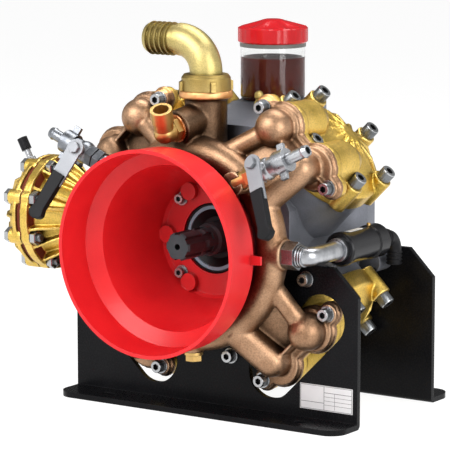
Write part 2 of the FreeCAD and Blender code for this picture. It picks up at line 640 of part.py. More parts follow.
def ring_branch(name, angle, side):
    """Ports of one head on the manifold, in the pump frame; the ball lies on the given side."""
    ball = "%d * port_half" % side
    elbow = "%d * elbow_half" % -side
    items = port_flange(name + "_lower", "barrel_radius + flange_step", "ear_radius + flange_step",
                        "flange_layer", "head_face")
    items += port_flange(name + "_upper", "barrel_radius", "ear_radius", "flange_layer",
                         "head_face + flange_layer")
    centre = at(ball, "ball_forward", "port_reach")
    items.append(sphere(name + "_ball", "ball_radius", Placement(centre, Rotation())))
    items.append(cylinder(name + "_ball_neck", "ball_radius - 1", "ball_forward - head_face",
                          Placement(at(ball, "head_face", "port_reach"), LIFTED)))
    swing = math.radians(size("ball_pipe_swing"))
    root = Vector(side * size("ring_radius") * math.sin(swing), size("ring_forward"),
                  size("ring_radius") * math.cos(swing))
    corner = at(elbow, "elbow_forward", "elbow_reach")
    foot = at(elbow, "ring_forward", "ring_radius")
    for part, radius, start, end in (("_ball_pipe", "ball_pipe", root, centre),
                                     ("_riser", "elbow_tube", foot, corner)):
        pipe = cylinder(name + part, radius, "1", along(start, end - start, Vector(0, 1, 0)))
        pipe.setExpression("Height", None)
        pipe.Height = (end - start).Length
        items.append(pipe)
    items.append(sphere(name + "_bend", "elbow_tube", Placement(corner, Rotation())))
    items.append(cylinder(name + "_elbow_neck", "elbow_tube", "elbow_forward - head_face",
                          Placement(at(elbow, "head_face", "elbow_reach"), LIFTED)))
    web = new_body(name + "_web")
    slope = outline(web, name + "_web_view", (
        ("ring_forward - ring_tube / 2", "ring_radius + ring_tube / 3"),
        ("ring_forward - ring_tube / 2 - web_thick", "ring_radius + ring_tube / 3"),
        ("web_foot", "port_reach"), ("web_foot + web_thick", "port_reach")), "YZ_Plane")
    pad(web, slope, "port_half * 2", name + "_web_plate", midplane=True)
    items.append(web)
    items.append(box(name + "_fin", "port_half * 2", "ring_forward - fin_drop - head_face", "fin_thick",
                     ("-port_half", "head_face", "port_reach - fin_thick / 2")))
    items.append(box(name + "_ear_fin", "ear_half * 2 - 4", "flange_layer * 2 + 6", "fin_thick",
                     ("-ear_half + 2", "head_face", "port_reach - fin_thick / 2")))
    whole = fuse(name, items)
    whole.Placement = head_placement(angle, "0")
    return whole


def make_manifold():
    """Cast bronze ring with two ports a head, the suction tower and the bosses of the fittings."""
    ring = doc.addObject("Part::Torus", "manifold_ring")
    bind(ring, Radius1="ring_radius", Radius2="ring_tube")
    ring.Placement = Placement(at("0", "0", "ring_forward"), Rotation())
    items = [ring]
    for number, angle in enumerate(head_angles):
        side = 1 if math.cos(math.radians(angle)) > 0 else -1
        items.append(ring_branch("manifold_branch_%d" % number, angle, side))
    foot = at("0", "ring_radius", "suction_forward")
    items.append(cylinder("tower", "suction_tower", "suction_seat - ring_radius", along(foot, up)))
    items.append(cylinder("tower_flange", "suction_flange", "suction_flange_thick",
                          along(at("0", "suction_seat - suction_flange_thick", "suction_forward"), up)))
    items.append(cylinder("branch", "branch_radius", "branch_reach", branch_frame()))
    left_port = at("-ring_radius", "accu_height", "ring_forward")
    items.append(cylinder("accumulator_port", "accu_neck", "accu_root - ring_radius", along(left_port, -right)))
    right_port = at("ring_radius", "-relief_drop", "ring_forward")
    items.append(cylinder("relief_port", "ring_tube", "relief_root - ring_radius", along(right_port, right)))
    items.append(cylinder("drain_boss_round", "drain_boss", "drain_seat - ring_radius",
                          along(at("0", "-ring_radius", "ring_forward"), -up)))
    sockets = []
    for name, across, rise, tilt, nipple in valve_list():
        start = "-valve_body_half - (" + nipple + ")"
        root = valve_point(across, rise, tilt, start)
        way = valve_point(across, rise, tilt, start + " + valve_boss_depth") - root
        boss = Vector(root.x, root.y, size("ring_forward"))
        items.append(cylinder(name + "_boss", "valve_root_radius + valve_boss_wall",
                              "valve_forward - ring_forward + valve_boss_top", along(boss, forward)))
        sockets.append(cylinder(name + "_socket", "valve_root_radius + nut_clearance", "valve_boss_depth",
                                along(root, way.normalize(), forward)))
    whole = cut("manifold_casting", fuse("manifold_outside", items), fuse("manifold_sockets", sockets))
    seat(whole, "manifold", pump)
    frame = pump.multiply(along(at("0", "-drain_seat", "ring_forward"), -up))
    plug = fuse("drain_plug_whole", [
        cylinder("drain_plug_collar", "drain_collar", "drain_length / 3", Placement()),
        hexagon("drain_plug_hexagon", "drain_hex / cos(30)", "drain_length", Placement())])
    seat(plug, "drain_plug", frame)


def branch_direction():
    """Side branch of the suction tower: forward over the ring, a little down."""
    return Vector(-0.23, -0.22, 0.94).normalize()


def branch_frame():
    root = at("0", "branch_height", "suction_forward")
    return along(root, branch_direction())


def valve_list():
    """Name, pivot across and up, tilt and nipple of each ball valve; the left one is mirrored."""
    return (("right_valve", "right_valve_across", "right_valve_up", "right_valve_tilt", "right_valve_nipple"),
            ("left_valve", "-left_valve_across", "left_valve_up", "180 - left_valve_tilt",
             "left_valve_nipple"))


def valve_point(across, rise, tilt, distance):
    """Point on a ball valve axis at a distance from its pivot."""
    angle = math.radians(size(tilt))
    pivot = at(across, rise, "valve_forward")
    return pivot + Vector(math.cos(angle), math.sin(angle), 0) * size(distance)


def make_bracket(name, frame, ports):
    """Folded plate bracket, open round the pump nose, with a slotted foot; the front one clears the ports."""
    body = new_body(name + "_plate")
    floor = "-shaft_height"
    brow = "(bracket_top - shaft_height)"
    edge = "sqrt(bracket_mouth ^ 2 - (bracket_top - shaft_height) ^ 2)"
    plate = outline(body, name + "_upright", (
        ("-bracket_half", floor), ("bracket_half", floor), ("bracket_half", brow + " - bracket_chamfer"),
        ("bracket_half - bracket_chamfer", brow), (edge, brow, "bracket_mouth", 1), ("-" + edge, brow),
        ("-bracket_half + bracket_chamfer", brow), ("-bracket_half", brow + " - bracket_chamfer")),
        "XY_Plane", "bracket_seat")
    pad(body, plate, "bracket_thick", name + "_upright_plate")
    toe = "bracket_seat + bracket_thick + foot_depth"
    foot = outline(body, name + "_foot_view", (
        ("-bracket_half", "bracket_seat"), ("bracket_half", "bracket_seat"),
        ("bracket_half", toe + " - foot_corner", "foot_corner", -1),
        ("bracket_half - foot_corner", toe),
        ("-bracket_half + foot_corner", toe, "foot_corner", -1),
        ("-bracket_half", toe + " - foot_corner")), "XZ_Plane", "shaft_height")
    toe_pad = pad(body, foot, "bracket_thick", name + "_foot", reverse=True)
    bend_edges = []
    for index, rim in enumerate(toe_pad.Shape.Edges):
        middle = rim.CenterOfMass
        if abs(middle.y + size("shaft_height")) < 0.01 and abs(middle.z - size("bracket_seat")) < 0.01:
            bend_edges.append("Edge%d" % (index + 1))
    bend = body.newObject("PartDesign::Fillet", name + "_bend")
    bend.Base = (toe_pad, bend_edges)
    bind(bend, Radius="bracket_thick - 1")
    doc.recompute()
    tools = []
    for angle in ports:
        spot = head_placement(angle, "bracket_seat - 1")
        for side in (1, -1):
            end = "%d * (bracket_slot_reach - bracket_slot_half)" % side
            start = spot.multiply(Placement(at(end, "0", "port_reach"), LIFTED))
            tools.append(cylinder(name + "_slot_end", "bracket_slot_half", "bracket_thick + 2", start))
        bar = box(name + "_slot_bar", "(bracket_slot_reach - bracket_slot_half) * 2", "bracket_thick + 2",
                  "bracket_slot_half * 2",
                  ("-bracket_slot_reach + bracket_slot_half", "0", "port_reach - bracket_slot_half"))
        bar.Placement = spot.multiply(bar.Placement)
        tools.append(bar)
    for side in (1, -1):
        across = "%d * foot_slot_across" % side
        for end in ("foot_slot_radius - foot_slot_half", "foot_slot_half - foot_slot_radius"):
            start = at(across + " + " + end, "-shaft_height - 1",
                       "bracket_seat + bracket_thick + foot_slot_out")
            tools.append(cylinder(name + "_foot_slot_end", "foot_slot_radius", "bracket_thick + 2",
                                  along(start, up)))
        tools.append(box(name + "_foot_slot", "(foot_slot_half - foot_slot_radius) * 2", "bracket_thick + 2",
                         "foot_slot_radius * 2",
                         (across + " - foot_slot_half + foot_slot_radius", "-shaft_height - 1",
                          "bracket_seat + bracket_thick + foot_slot_out - foot_slot_radius")))
    whole = cut(name + "_folded", body, fuse(name + "_cutters", tools))
    return seat(whole, name, frame)


def make_guard():
    """Moulded funnel guard: floor, curved bowl, conical band, lipped skirt, half-moon bosses and a tab."""
    body = new_body("guard")
    back = "(guard_rim_forward - guard_skirt)"
    inner = "(guard_rim_radius - guard_wall - guard_skirt_taper)"
    throat = "(" + inner + " - guard_step)"
    turn(body, "guard_shell", (
        ("guard_bore", "cover_face"),
        ("guard_floor_radius + guard_wall - 1", "cover_face", "guard_bowl", -1),
        (throat + " + guard_wall", back + " - guard_band - guard_wall / 2"),
        ("guard_rim_radius - 1.5", back + " - guard_wall"),
        ("guard_rim_radius - 1", "guard_rim_forward - guard_lip"),
        ("guard_rim_radius", "guard_rim_forward - guard_lip + 1"), ("guard_rim_radius", "guard_rim_forward"),
        ("guard_rim_radius - guard_wall - 1", "guard_rim_forward"),
        ("guard_rim_radius - guard_wall - 1", "guard_rim_forward - guard_lip"), (inner, back),
        (throat, back + " - guard_band", "guard_bowl", 1),
        ("guard_floor_radius", "cover_face + guard_floor + 4"),
        ("guard_floor_radius - 4", "cover_face + guard_floor"),
        ("guard_bore", "cover_face + guard_floor")))
    moon = circles(body, "guard_moon_view", [
        ("guard_floor_radius - guard_moon * 0.8", "0", "guard_moon")], "XY_Plane", "cover_face")
    first = pad(body, moon, "guard_floor + guard_moon_height", "guard_moon_boss")
    ring_of(body, first, "guard_moons", "6")
    tab = outline(body, "guard_tab_view", (
        ("guard_rim_radius - guard_wall", "-guard_tab_half - 1"),
        ("guard_rim_radius + guard_tab", "-guard_tab_half"),
        ("guard_rim_radius + guard_tab", "guard_tab_half"),
        ("guard_rim_radius - guard_wall", "guard_tab_half + 1")), "XY_Plane", back)
    pad(body, tab, "guard_wall", "guard_tab")
    return seat(body, "shaft_guard", pump)


def make_seal():
    carrier = turned("seal_carrier", (
        ("seal_ring_outer", "case_front"), ("seal_carrier_radius", "case_front"),
        ("seal_carrier_radius", "cover_face + guard_floor + seal_carrier_proud - 1"),
        ("seal_carrier_radius - 1", "cover_face + guard_floor + seal_carrier_proud"),
        ("seal_ring_outer", "cover_face + guard_floor + seal_carrier_proud")))
    seat(carrier, "seal_carrier", pump)
    ring = turned("seal_ring", (
        ("seal_ring_inner", "case_front"), ("seal_ring_outer", "case_front"),
        ("seal_ring_outer", "cover_face + guard_floor + seal_carrier_proud - 1"),
        ("seal_ring_inner", "cover_face + guard_floor + seal_carrier_proud - 1")))
    seat(ring, "seal_ring", pump)
    lip = turned("lip_seal", (
        ("shaft_collar + running_clearance", "case_front"), ("seal_ring_inner", "case_front"),
        ("seal_ring_inner", "cover_face + guard_floor + seal_carrier_proud - 3"),
        ("shaft_collar + 6", "cover_face + guard_floor + seal_carrier_proud - seal_recess"),
        ("shaft_collar + running_clearance", "cover_face + guard_floor + seal_carrier_proud - seal_recess")))
    seat(lip, "lip_seal", pump)


def make_shaft():
    """Splined drive shaft with a locking groove for the coupling, a chamfer and a centre hole."""
    body = new_body("shaft")
    groove_half = "sqrt(lock_groove_radius ^ 2 - (lock_groove_radius - shaft_radius + lock_groove_floor) ^ 2)"
    shoulder = "shaft_tip - spline_length"
    turn(body, "shaft_turned", (
        ("0", "shaft_tail"), ("shaft_collar", "shaft_tail"), ("shaft_collar", shoulder + " - 12"),
        ("shaft_radius", shoulder + " - 8"),
        ("shaft_radius", "shaft_tip - lock_groove_back - " + groove_half, "lock_groove_radius", 1),
        ("shaft_radius", "shaft_tip - lock_groove_back + " + groove_half),
        ("shaft_radius", "shaft_tip - shaft_chamfer"), ("shaft_radius - shaft_chamfer", "shaft_tip"),
        ("centre_hole", "shaft_tip"), ("centre_hole", "shaft_tip - centre_hole_depth"),
        ("0", "shaft_tip - centre_hole_depth - centre_hole / 2")))
    half_gap = "(180 deg / spline_count - asin(spline_key / 2 / spline_root))"
    open_gap = "(180 deg / spline_count - asin(spline_key / 2 / (shaft_radius + 2)))"
    gap = outline(body, "spline_gap_view", (
        ("spline_root * sin%s" % half_gap, "spline_root * cos%s" % half_gap),
        ("(shaft_radius + 2) * sin%s" % open_gap, "(shaft_radius + 2) * cos%s" % open_gap),
        ("-(shaft_radius + 2) * sin%s" % open_gap, "(shaft_radius + 2) * cos%s" % open_gap),
        ("-spline_root * sin%s" % half_gap, "spline_root * cos%s" % half_gap, "spline_root", 1)),
        "XY_Plane", "shaft_tip")
    first = pocket(body, gap, "spline_gap", "spline_length")
    ring_of(body, first, "splines", "spline_count")
    return seat(body, "pto_shaft", pump)


def make_suction():
    """Brass suction elbow with a ridged hose tail, held down by a ring nut with four lugs."""
    foot = at("0", "suction_seat", "suction_forward")
    bend_centre = at("-suction_bend", "suction_rise", "suction_forward")
    outlet = at("-suction_bend", "suction_rise + suction_bend", "suction_forward")
    solids = []
    for name, radius in (("outer", "suction_tube"), ("bore", "suction_bore")):
        stand = cylinder("suction_stand_" + name, radius, "suction_rise - suction_seat", along(foot, up))
        bend = doc.addObject("Part::Torus", "suction_bend_" + name)
        bind(bend, Radius1="suction_bend", Radius2=radius)
        bend.Angle3 = 90
        bend.Placement = Placement(bend_centre, Rotation())
        tail_radius = "suction_barb - barb_height" if name == "outer" else radius
        run = cylinder("suction_run_" + name, tail_radius, "suction_reach - suction_bend",
                       along(outlet, -right))
        solids.append([stand, bend, run])
    solids[0].append(cylinder("suction_collar", "nut_radius - 4", "7", along(foot, up)))
    for index in range(int(size("suction_barb_count"))):
        start = outlet - right * (size("suction_reach - suction_bend") - index * size("suction_barb_pitch"))
        solids[0].append(cone("suction_barb", "suction_barb - barb_height", "suction_barb",
                              "suction_barb_pitch * 0.8", along(start, right)))
    elbow = cut("suction_pipe", fuse("suction_outside", solids[0]), fuse("suction_inside", solids[1]))
    seat(elbow, "suction_elbow", pump)
    nut = new_body("ring_nut")
    turn(nut, "ring_nut_turned", (
        ("nut_radius - 4 + nut_clearance", "0"), ("nut_radius", "0"), ("nut_radius", "nut_height - 4"),
        ("nut_radius - 3", "nut_height"), ("suction_tube + nut_clearance", "nut_height"),
        ("suction_tube + nut_clearance", "7 + nut_clearance"),
        ("nut_radius - 4 + nut_clearance", "7 + nut_clearance")))
    lug = outline(nut, "ring_nut_lug_view", (
        ("nut_radius - 2", "0"), ("nut_radius + 3.5", "0"), ("nut_radius + 3.5", "nut_height - 9"),
        ("nut_radius - 2", "nut_height - 6")))
    first = pad(nut, lug, "6", "ring_nut_lug", midplane=True)
    ring_of(nut, first, "ring_nut_lugs", "4")
    spot = along(foot, up, Vector(0.77, 0, 0.64).normalize())
    seat(nut, "suction_nut", pump.multiply(spot))


def make_side_fitting():
    """Copper washer and open-mouthed brass elbow on the side branch."""
    start = branch_frame().multVec(at("0", "0", "branch_reach"))
    way = branch_direction()
    washer = cylinder("washer_disc", "washer_radius", "washer_thick", along(start, way))
    seat(washer, "branch_washer", pump.multiply(washer.Placement))
    start = start + way * size("washer_thick")
    corner = start + way * size("fitting_leg")
    rise = Vector(0.15, 0.88, 0.45).normalize()
    solid = fuse("fitting_outside", [
        cylinder("fitting_first_leg", "fitting_radius", "fitting_leg", along(start, way)),
        sphere("fitting_corner", "fitting_radius", Placement(corner, Rotation())),
        cylinder("fitting_second_leg", "fitting_radius - 1.5", "fitting_rise", along(corner, rise)),
        cylinder("fitting_collar", "fitting_radius", "fitting_rise / 2",
                 along(corner + rise * size("fitting_rise / 2"), rise)),
        hexagon("fitting_hexagon", "fitting_radius + 2.5", "8", along(start, way))])
    mouth = cylinder("fitting_mouth", "fitting_bore", "fitting_mouth_depth + 1",
                     along(corner + rise * size("fitting_rise - fitting_mouth_depth"), rise))
    seat(cut("fitting", solid, mouth), "branch_elbow", pump)


def make_oil_cup():
    """Clear cup with oil, a grey seal and a domed screw cap, on the top pad."""
    frame = pump.multiply(along(at("0", "case_top", "-cup_back"), up))
    inner = "cup_radius - cup_wall"
    cup = turned("cup", (
        ("0", "0"), ("cup_radius - cup_taper", "0"), ("cup_radius", "cup_floor"),
        ("cup_radius", "cup_height"), (inner, "cup_height"),
        (inner, "cup_floor"), ("0", "cup_floor")))
    seat(cup, "oil_cup", frame)
    oil = turned("oil_fill", (
        ("0", "cup_floor"), (inner + " - nut_clearance", "cup_floor"),
        (inner + " - nut_clearance", "oil_height"), ("0", "oil_height")))
    seat(oil, "oil", frame)
    ring = turned("cup_ring", (
        (inner, "cup_height"), ("cap_seal_radius", "cup_height"),
        ("cap_seal_radius", "cup_height + cap_seal_height"), (inner, "cup_height + cap_seal_height")))
    seat(ring, "cap_seal", frame)
    foot = "cup_height + cap_seal_height"
    cap = turned("cup_cap", (
        ("0", foot), ("cap_radius - 2", foot), ("cap_radius", foot + " + 2"),
        ("cap_radius", foot + " + cap_skirt - 1"), ("cap_radius - 2", foot + " + cap_skirt"),
        ("cap_knob", foot + " + cap_skirt + cap_crown - 1"),
        ("cap_knob - 1", foot + " + cap_skirt + cap_crown"), ("0", foot + " + cap_skirt + cap_crown")))
    seat(cap, "oil_cap", frame)


def paired_ribs(name, face):
    """Ribs of the inner bell: a pair at each bolt, from either side of it to one foot by the neck."""
    envelope = turned(name + "_rib_envelope", (
        ("0", "accu_root + 16"), ("accu_inner_nose + 4", "accu_root + 14"),
        ("accu_flange - 3", face + " - 2"), ("accu_flange - 3", face + " + 2"), ("0", face + " + 2")))
    start = size("accu_neck + accu_rib")
    lean = math.degrees(math.atan2(size("accu_rib_spread"), size("accu_flange") - start))
    count = int(size("accu_bolt_count"))
    slabs = []
    for index in range(count):
        turn_angle = size("accu_bolt_turn") + 360 * index / count
        foot = Rotation(Vector(0, 0, 1), turn_angle).multVec(Vector(start, 0, size("accu_root")))
        for side in (1, -1):
            slab = box(name + "_paired_rib", "accu_flange", "accu_rib", "accu_joint - accu_root",
                       ("0", "-accu_rib / 2", "0"))
            way = Rotation(Vector(0, 0, 1), turn_angle + side * lean)
            slab.Placement = Placement(foot, way).multiply(slab.Placement)
            slabs.append(slab)
    ribs = doc.addObject("Part::Common", name + "_paired_ribs")
    ribs.Base = envelope
    ribs.Tool = fuse(name + "_rib_slabs", slabs)
    return ribs


def make_accumulator():
    """Pulsation damper: two ribbed bells bolted over a rubber diaphragm, and an air valve."""
    axis = along(at("0", "accu_height", "ring_forward"), -right, forward)
    frame = pump.multiply(axis)
    joint_in = "accu_joint - accu_rubber / 2"
    joint_out = "accu_joint + accu_rubber / 2"
    bells = []
    for name, label, joint, way in (("inner_bell", "accumulator_inner", joint_in, -1),
                                    ("outer_bell", "accumulator_outer", joint_out, 1)):
        body = new_body(name)
        face = "%s + %d * accu_flange_thick" % (joint, way)
        if way < 0:
            turn(body, name + "_shell", (
                ("0", "accu_root"), ("accu_neck", "accu_root"), ("accu_neck", "accu_root + 9"),
                ("accu_inner_nose", "accu_root + 16"), ("accu_shell", face), ("accu_flange", face),
                ("accu_flange", joint), ("0", joint)))
            whole = [body, paired_ribs(name, face)]
        else:
            turn(body, name + "_shell", (
                ("0", joint), ("accu_flange - accu_groove", joint),
                ("accu_flange - accu_groove", joint + " + accu_groove"),
                ("accu_flange", joint + " + accu_groove"),
                ("accu_flange", face), ("accu_shell + 5", face),
                ("accu_shell", face + " + 14"), ("accu_outer_nose + 6", face + " + accu_outer_depth - 2"),
                ("accu_outer_nose", face + " + accu_outer_depth"), ("0", face + " + accu_outer_depth")))
            rib = outline(body, name + "_rib_view", (
                ("accu_outer_nose - 6", face + " - 2"), ("accu_flange - 3", face + " - 2"),
                ("accu_flange - 3", face + " + 2"), ("accu_shell + 4", face + " + 16"),
                ("accu_outer_nose + 8", face + " + accu_outer_depth + 1"),
                ("accu_outer_nose - 6", face + " + accu_outer_depth - 1")))
            first = pad(body, rib, "accu_rib", name + "_rib", midplane=True)
            ring_of(body, first, name + "_ribs", "accu_rib_count")
            whole = [body]
        boss = circles(body, name + "_boss_view", [
            ("accu_bolt_circle * cos(accu_bolt_turn)", "accu_bolt_circle * sin(accu_bolt_turn)",
             "accu_bolt_boss")], "XY_Plane", joint)
        first = pad(body, boss, "accu_boss_in" if way < 0 else "accu_boss_out", name + "_boss", reverse=way < 0)
        ring_of(body, first, name + "_bosses", "accu_bolt_count")
        bells.append((whole, label))
    way = Vector(-0.48, 0.88, 0).normalize()
    foot = at("-accu_joint - accu_flange_thick - 22", "accu_height + accu_shell + 4", "ring_forward")
    boss = cylinder("air_boss_round", "air_boss", "air_stem_length",
                    along(axis.inverse().multVec(foot - way * size("air_stem_length")),
                          axis.Rotation.inverted().multVec(way), forward))
    seat(fuse("inner_bell_whole", bells[0][0]), bells[0][1], frame)
    seat(fuse("outer_bell_whole", bells[1][0] + [boss]), bells[1][1], frame)
    rubber = turned("rubber_disc", (
        ("0", joint_in), ("accu_flange - 0.5", joint_in), ("accu_flange - 0.5", joint_out), ("0", joint_out)))
    seat(rubber, "accumulator_diaphragm", frame)
    stem = fuse("air_stem_whole", [
        cylinder("air_stem_post", "air_stem", "air_stem_length", along(foot, way)),
        hexagon("air_stem_hexagon", "air_stem + 3", "air_stem_length / 3", along(foot, way))])
    seat(stem, "air_valve_stem", pump)
    cap = cylinder("air_cap_round", "air_cap", "air_cap_length",
                   along(foot + way * size("air_stem_length"), way))
    seat(cap, "air_valve_cap", pump.multiply(cap.Placement))


def make_ball_valve(name, across, rise, tilt, nipple, tail, turn_up, swing):
    """Ball valve: nipple, body with stem, wing nut, hose tail, and a lever with a moulded grip."""
    angle = math.radians(size(tilt))
    way = Vector(math.cos(angle), math.sin(angle), 0)
    over = Vector(0, 0, 1).cross(way)
    if over.y < 0:
        over = -over
    raise_angle = math.radians(size(turn_up))
    stem_way = forward * math.cos(raise_angle) + over * math.sin(raise_angle)
    pivot = at(across, rise, "valve_forward")
    axis = along(pivot, way, stem_way)
    frame = pump.multiply(axis)
    nipple_start = "-valve_body_half - (%s)" % nipple
    post = fuse(name + "_nipple_whole", [
        cylinder(name + "_nipple_tube", "valve_root_radius", nipple,
                 Placement(at("0", "0", nipple_start), Rotation())),
        hexagon(name + "_nipple_hexagon", "valve_hex", "9",
                Placement(at("0", "0", "-valve_body_half - 11"), Rotation()))])
    seat(post, name + "_nipple", frame)
    stem_axis = Rotation(Vector(0, 1, 0), 90)
    body = fuse(name + "_body_whole", [
        cylinder(name + "_barrel", "valve_body_radius", "valve_body_half * 2",
                 Placement(at("0", "0", "-valve_body_half"), Rotation())),
        hexagon(name + "_body_hexagon", "valve_hex", "9",
                Placement(at("0", "0", "-valve_body_half"), Rotation())),
        sphere(name + "_belly", "valve_body_radius + 2", Placement()),
        cylinder(name + "_stem", "valve_stem_radius", "valve_stem_rise - lever_clearance",
                 Placement(Vector(), stem_axis))])
    seat(body, name + "_body", frame)
    nut_start = "valve_body_half"
    wings = []
    for side in (1, -1):
        inner = "valve_nut_radius - 2" if side > 0 else "-valve_nut_radius - 8"
        wings.append(box(name + "_wing", "5", "10", "9", ("-2.5", inner, nut_start + " + 3")))
    nut = fuse(name + "_nut_whole", wings + [
        cylinder(name + "_nut_round", "valve_nut_radius", "valve_nut_length",
                 Placement(at("0", "0", nut_start), Rotation()))])
    seat(nut, name + "_nut", frame)
    tail_start = nut_start + " + valve_nut_length"
    hose = turned(name + "_hose", (
        ("valve_tail_bore", tail_start), ("valve_tail_radius", tail_start),
        ("valve_tail_radius", tail_start + " + (%s) - 8" % tail),
        ("valve_tail_radius + 1", tail_start + " + (%s) - 5" % tail),
        ("valve_tail_radius - 0.5", tail_start + " + (%s)" % tail),
        ("valve_tail_bore", tail_start + " + (%s)" % tail)))
    seat(hose, name + "_tail", frame)
    down = stem_way.cross(way)
    if down.y > 0:
        down = -down
    swing_angle = math.radians(size(swing))
    lever_way = down * math.cos(swing_angle) + way * math.sin(swing_angle)
    lever_foot = pivot + stem_way * size("valve_stem_rise")
    lever_frame = Placement(lever_foot, Rotation(lever_way, Vector(), stem_way, "ZXY"))
    plate = fuse(name + "_plate_whole", [
        cylinder(name + "_plate_eye", "lever_width / 2 + 1", "lever_thick", Placement()),
        box(name + "_plate_arm", "lever_length + 14", "lever_width", "lever_thick",
            ("0", "-lever_width / 2", "0")),
        hexagon(name + "_stem_nut", "valve_stem_radius + 1", "5",
                Placement(at("0", "0", "lever_thick"), Rotation()))])
    seat(plate, name + "_lever", pump.multiply(lever_frame))
    grip_body = new_body(name + "_grip_body")
    view = outline(grip_body, name + "_grip_view", (
        ("lever_length", "-grip_width / 2 + 1.5"),
        ("lever_length + grip_length - grip_width / 2 - 4", "-grip_width / 2 + 2.5"),
        ("lever_length + grip_length - 6", "-grip_width / 2", "grip_width / 2 + 0.5", -1),
        ("lever_length + grip_length - 6", "grip_width / 2"),
        ("lever_length + grip_length - grip_width / 2 - 4", "grip_width / 2 - 2.5"),
        ("lever_length", "grip_width / 2 - 1.5")), "XY_Plane", "lever_thick / 2 - grip_thick / 2")
    pad(grip_body, view, "grip_thick", name + "_grip_pad")
    slot = box(name + "_grip_socket", "14", "lever_width", "lever_thick",
               ("lever_length", "-lever_width / 2", "0"))
    grip = cut(name + "_grip_cut", grip_body, slot)
    seat(grip, name + "_grip", pump.multiply(lever_frame))
    return lever_foot, stem_way


def make_relief_valve():
    """Safety valve on the right: union nut, chrome elbow, black body and a hose tail."""
    start = at("relief_root", "-relief_drop", "ring_forward")
    nut = hexagon("relief_hexagon", "relief_hex / cos(30)", "relief_nut_length", along(start, right, up))
    seat(nut, "relief_nut", pump.multiply(nut.Placement))
    run_start = at("relief_root + relief_nut_length", "-relief_drop", "ring_forward")
    bend = "(relief_across - relief_root - relief_nut_length)"
    turn_ring = doc.addObject("Part::Torus", "relief_bend")
    bind(turn_ring, Radius1=bend, Radius2="relief_tube")
    turn_ring.Angle3 = 90
    centre = at("relief_root + relief_nut_length", "-relief_drop", "ring_forward - " + bend)
    turn_ring.Placement = Placement(centre, Rotation(right, Vector(), -up, "ZXY"))
    back_start = at("relief_across", "-relief_drop", "ring_forward - " + bend)
    back = cylinder("relief_run", "relief_tube", "ring_forward - %s - relief_front" % bend,
                    along(back_start, -forward))
    collar = cylinder("relief_collar", "relief_tube + 3", "6",
                      along(at("relief_across", "-relief_drop", "relief_front + 6"), -forward))
    seat(fuse("relief_elbow_whole", [turn_ring, back, collar]), "relief_elbow", pump)
    body = turned("relief_shell", (
        ("0", "0"), ("relief_body_radius - 2", "0"), ("relief_body_radius", "2"), ("relief_body_radius", "8"),
        ("relief_body_radius - 1.5", "9"),
        ("relief_body_radius - 1.5", "relief_body_length * 0.7"),
        ("relief_body_radius", "relief_body_length * 0.7 + 1"),
        ("relief_body_radius", "relief_body_length - 8"),
        ("relief_tail_radius + 4", "relief_body_length"), ("0", "relief_body_length")))
    frame = along(at("relief_across", "-relief_drop", "relief_front"), -forward)
    seat(body, "relief_body", pump.multiply(frame))
    end = "relief_front - relief_body_length"
    tail_run = cylinder("relief_tail_start", "relief_tail_radius", "relief_tail_run",
                        along(at("relief_across", "-relief_drop", end), -forward))
    tail_bend = doc.addObject("Part::Torus", "relief_tail_turn")
    bind(tail_bend, Radius1="relief_tail_bend", Radius2="relief_tail_radius")
    tail_bend.Angle3 = 90
    centre = at("relief_across", "-relief_drop - relief_tail_bend", end + " - relief_tail_run")
    tail_bend.Placement = Placement(centre, Rotation(up, Vector(), -right, "ZXY"))
    drop = cylinder("relief_tail_end", "relief_tail_radius", "relief_tail_drop",
                    along(at("relief_across", "-relief_drop - relief_tail_bend",
                             end + " - relief_tail_run - relief_tail_bend"), -up))
    outlet = at("relief_across", "-relief_drop - relief_tail_bend - relief_tail_drop",
                end + " - relief_tail_run - relief_tail_bend")
    bore = cylinder("relief_tail_bore", "relief_tail_bore", "relief_tail_drop", along(outlet, up))
    tail = cut("relief_tail_pipe", fuse("relief_tail_whole", [tail_run, tail_bend, drop]), bore)
    seat(tail, "relief_tail", pump)


make_crankcase()
make_covers()
for number, angle in enumerate(head_angles):
    make_head(number + 1, angle)
make_manifold()
make_bracket("front_bracket", pump, head_angles[2:])
make_bracket("rear_bracket", Placement(Vector(), Rotation(Vector(0, 0, 1), 180)).multiply(pump), ())
make_guard()
make_seal()
make_shaft()
make_suction()
make_side_fitting()
make_oil_cup()
make_accumulator()
pivots = []
for (name, across, rise, tilt, nipple), tail, turn_up, swing in zip(
        valve_list(), ("right_valve_tail", "left_valve_tail"), ("right_valve_turn", "left_valve_turn"),
        ("right_lever_swing", "left_lever_swing")):
    foot, way = make_ball_valve(name, across, rise, tilt, nipple, tail, turn_up, swing)
    pivots.append((name, pump.multVec(foot), pump.Rotation.multVec(way)))
make_relief_valve()
doc.recompute()

for item in doc.Objects:
    if "Invalid" in item.State or "Error" in item.State:
        raise RuntimeError("%s is %s" % (item.Name, item.State))
os.makedirs("parts", exist_ok=True)
for node in nodes:
    if node.Shape.isNull() or not node.Shape.isValid():
        raise RuntimeError(node.Label + " has no valid shape")
    node.Shape.exportStep("parts/" + node.Label + ".step")
for name, foot, way in pivots:
    print(name, "lever turns at", foot, "about", way)
print(len(nodes), "pieces written")
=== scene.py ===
import math

import bmesh
import bpy
from mathutils import Matrix, Vector


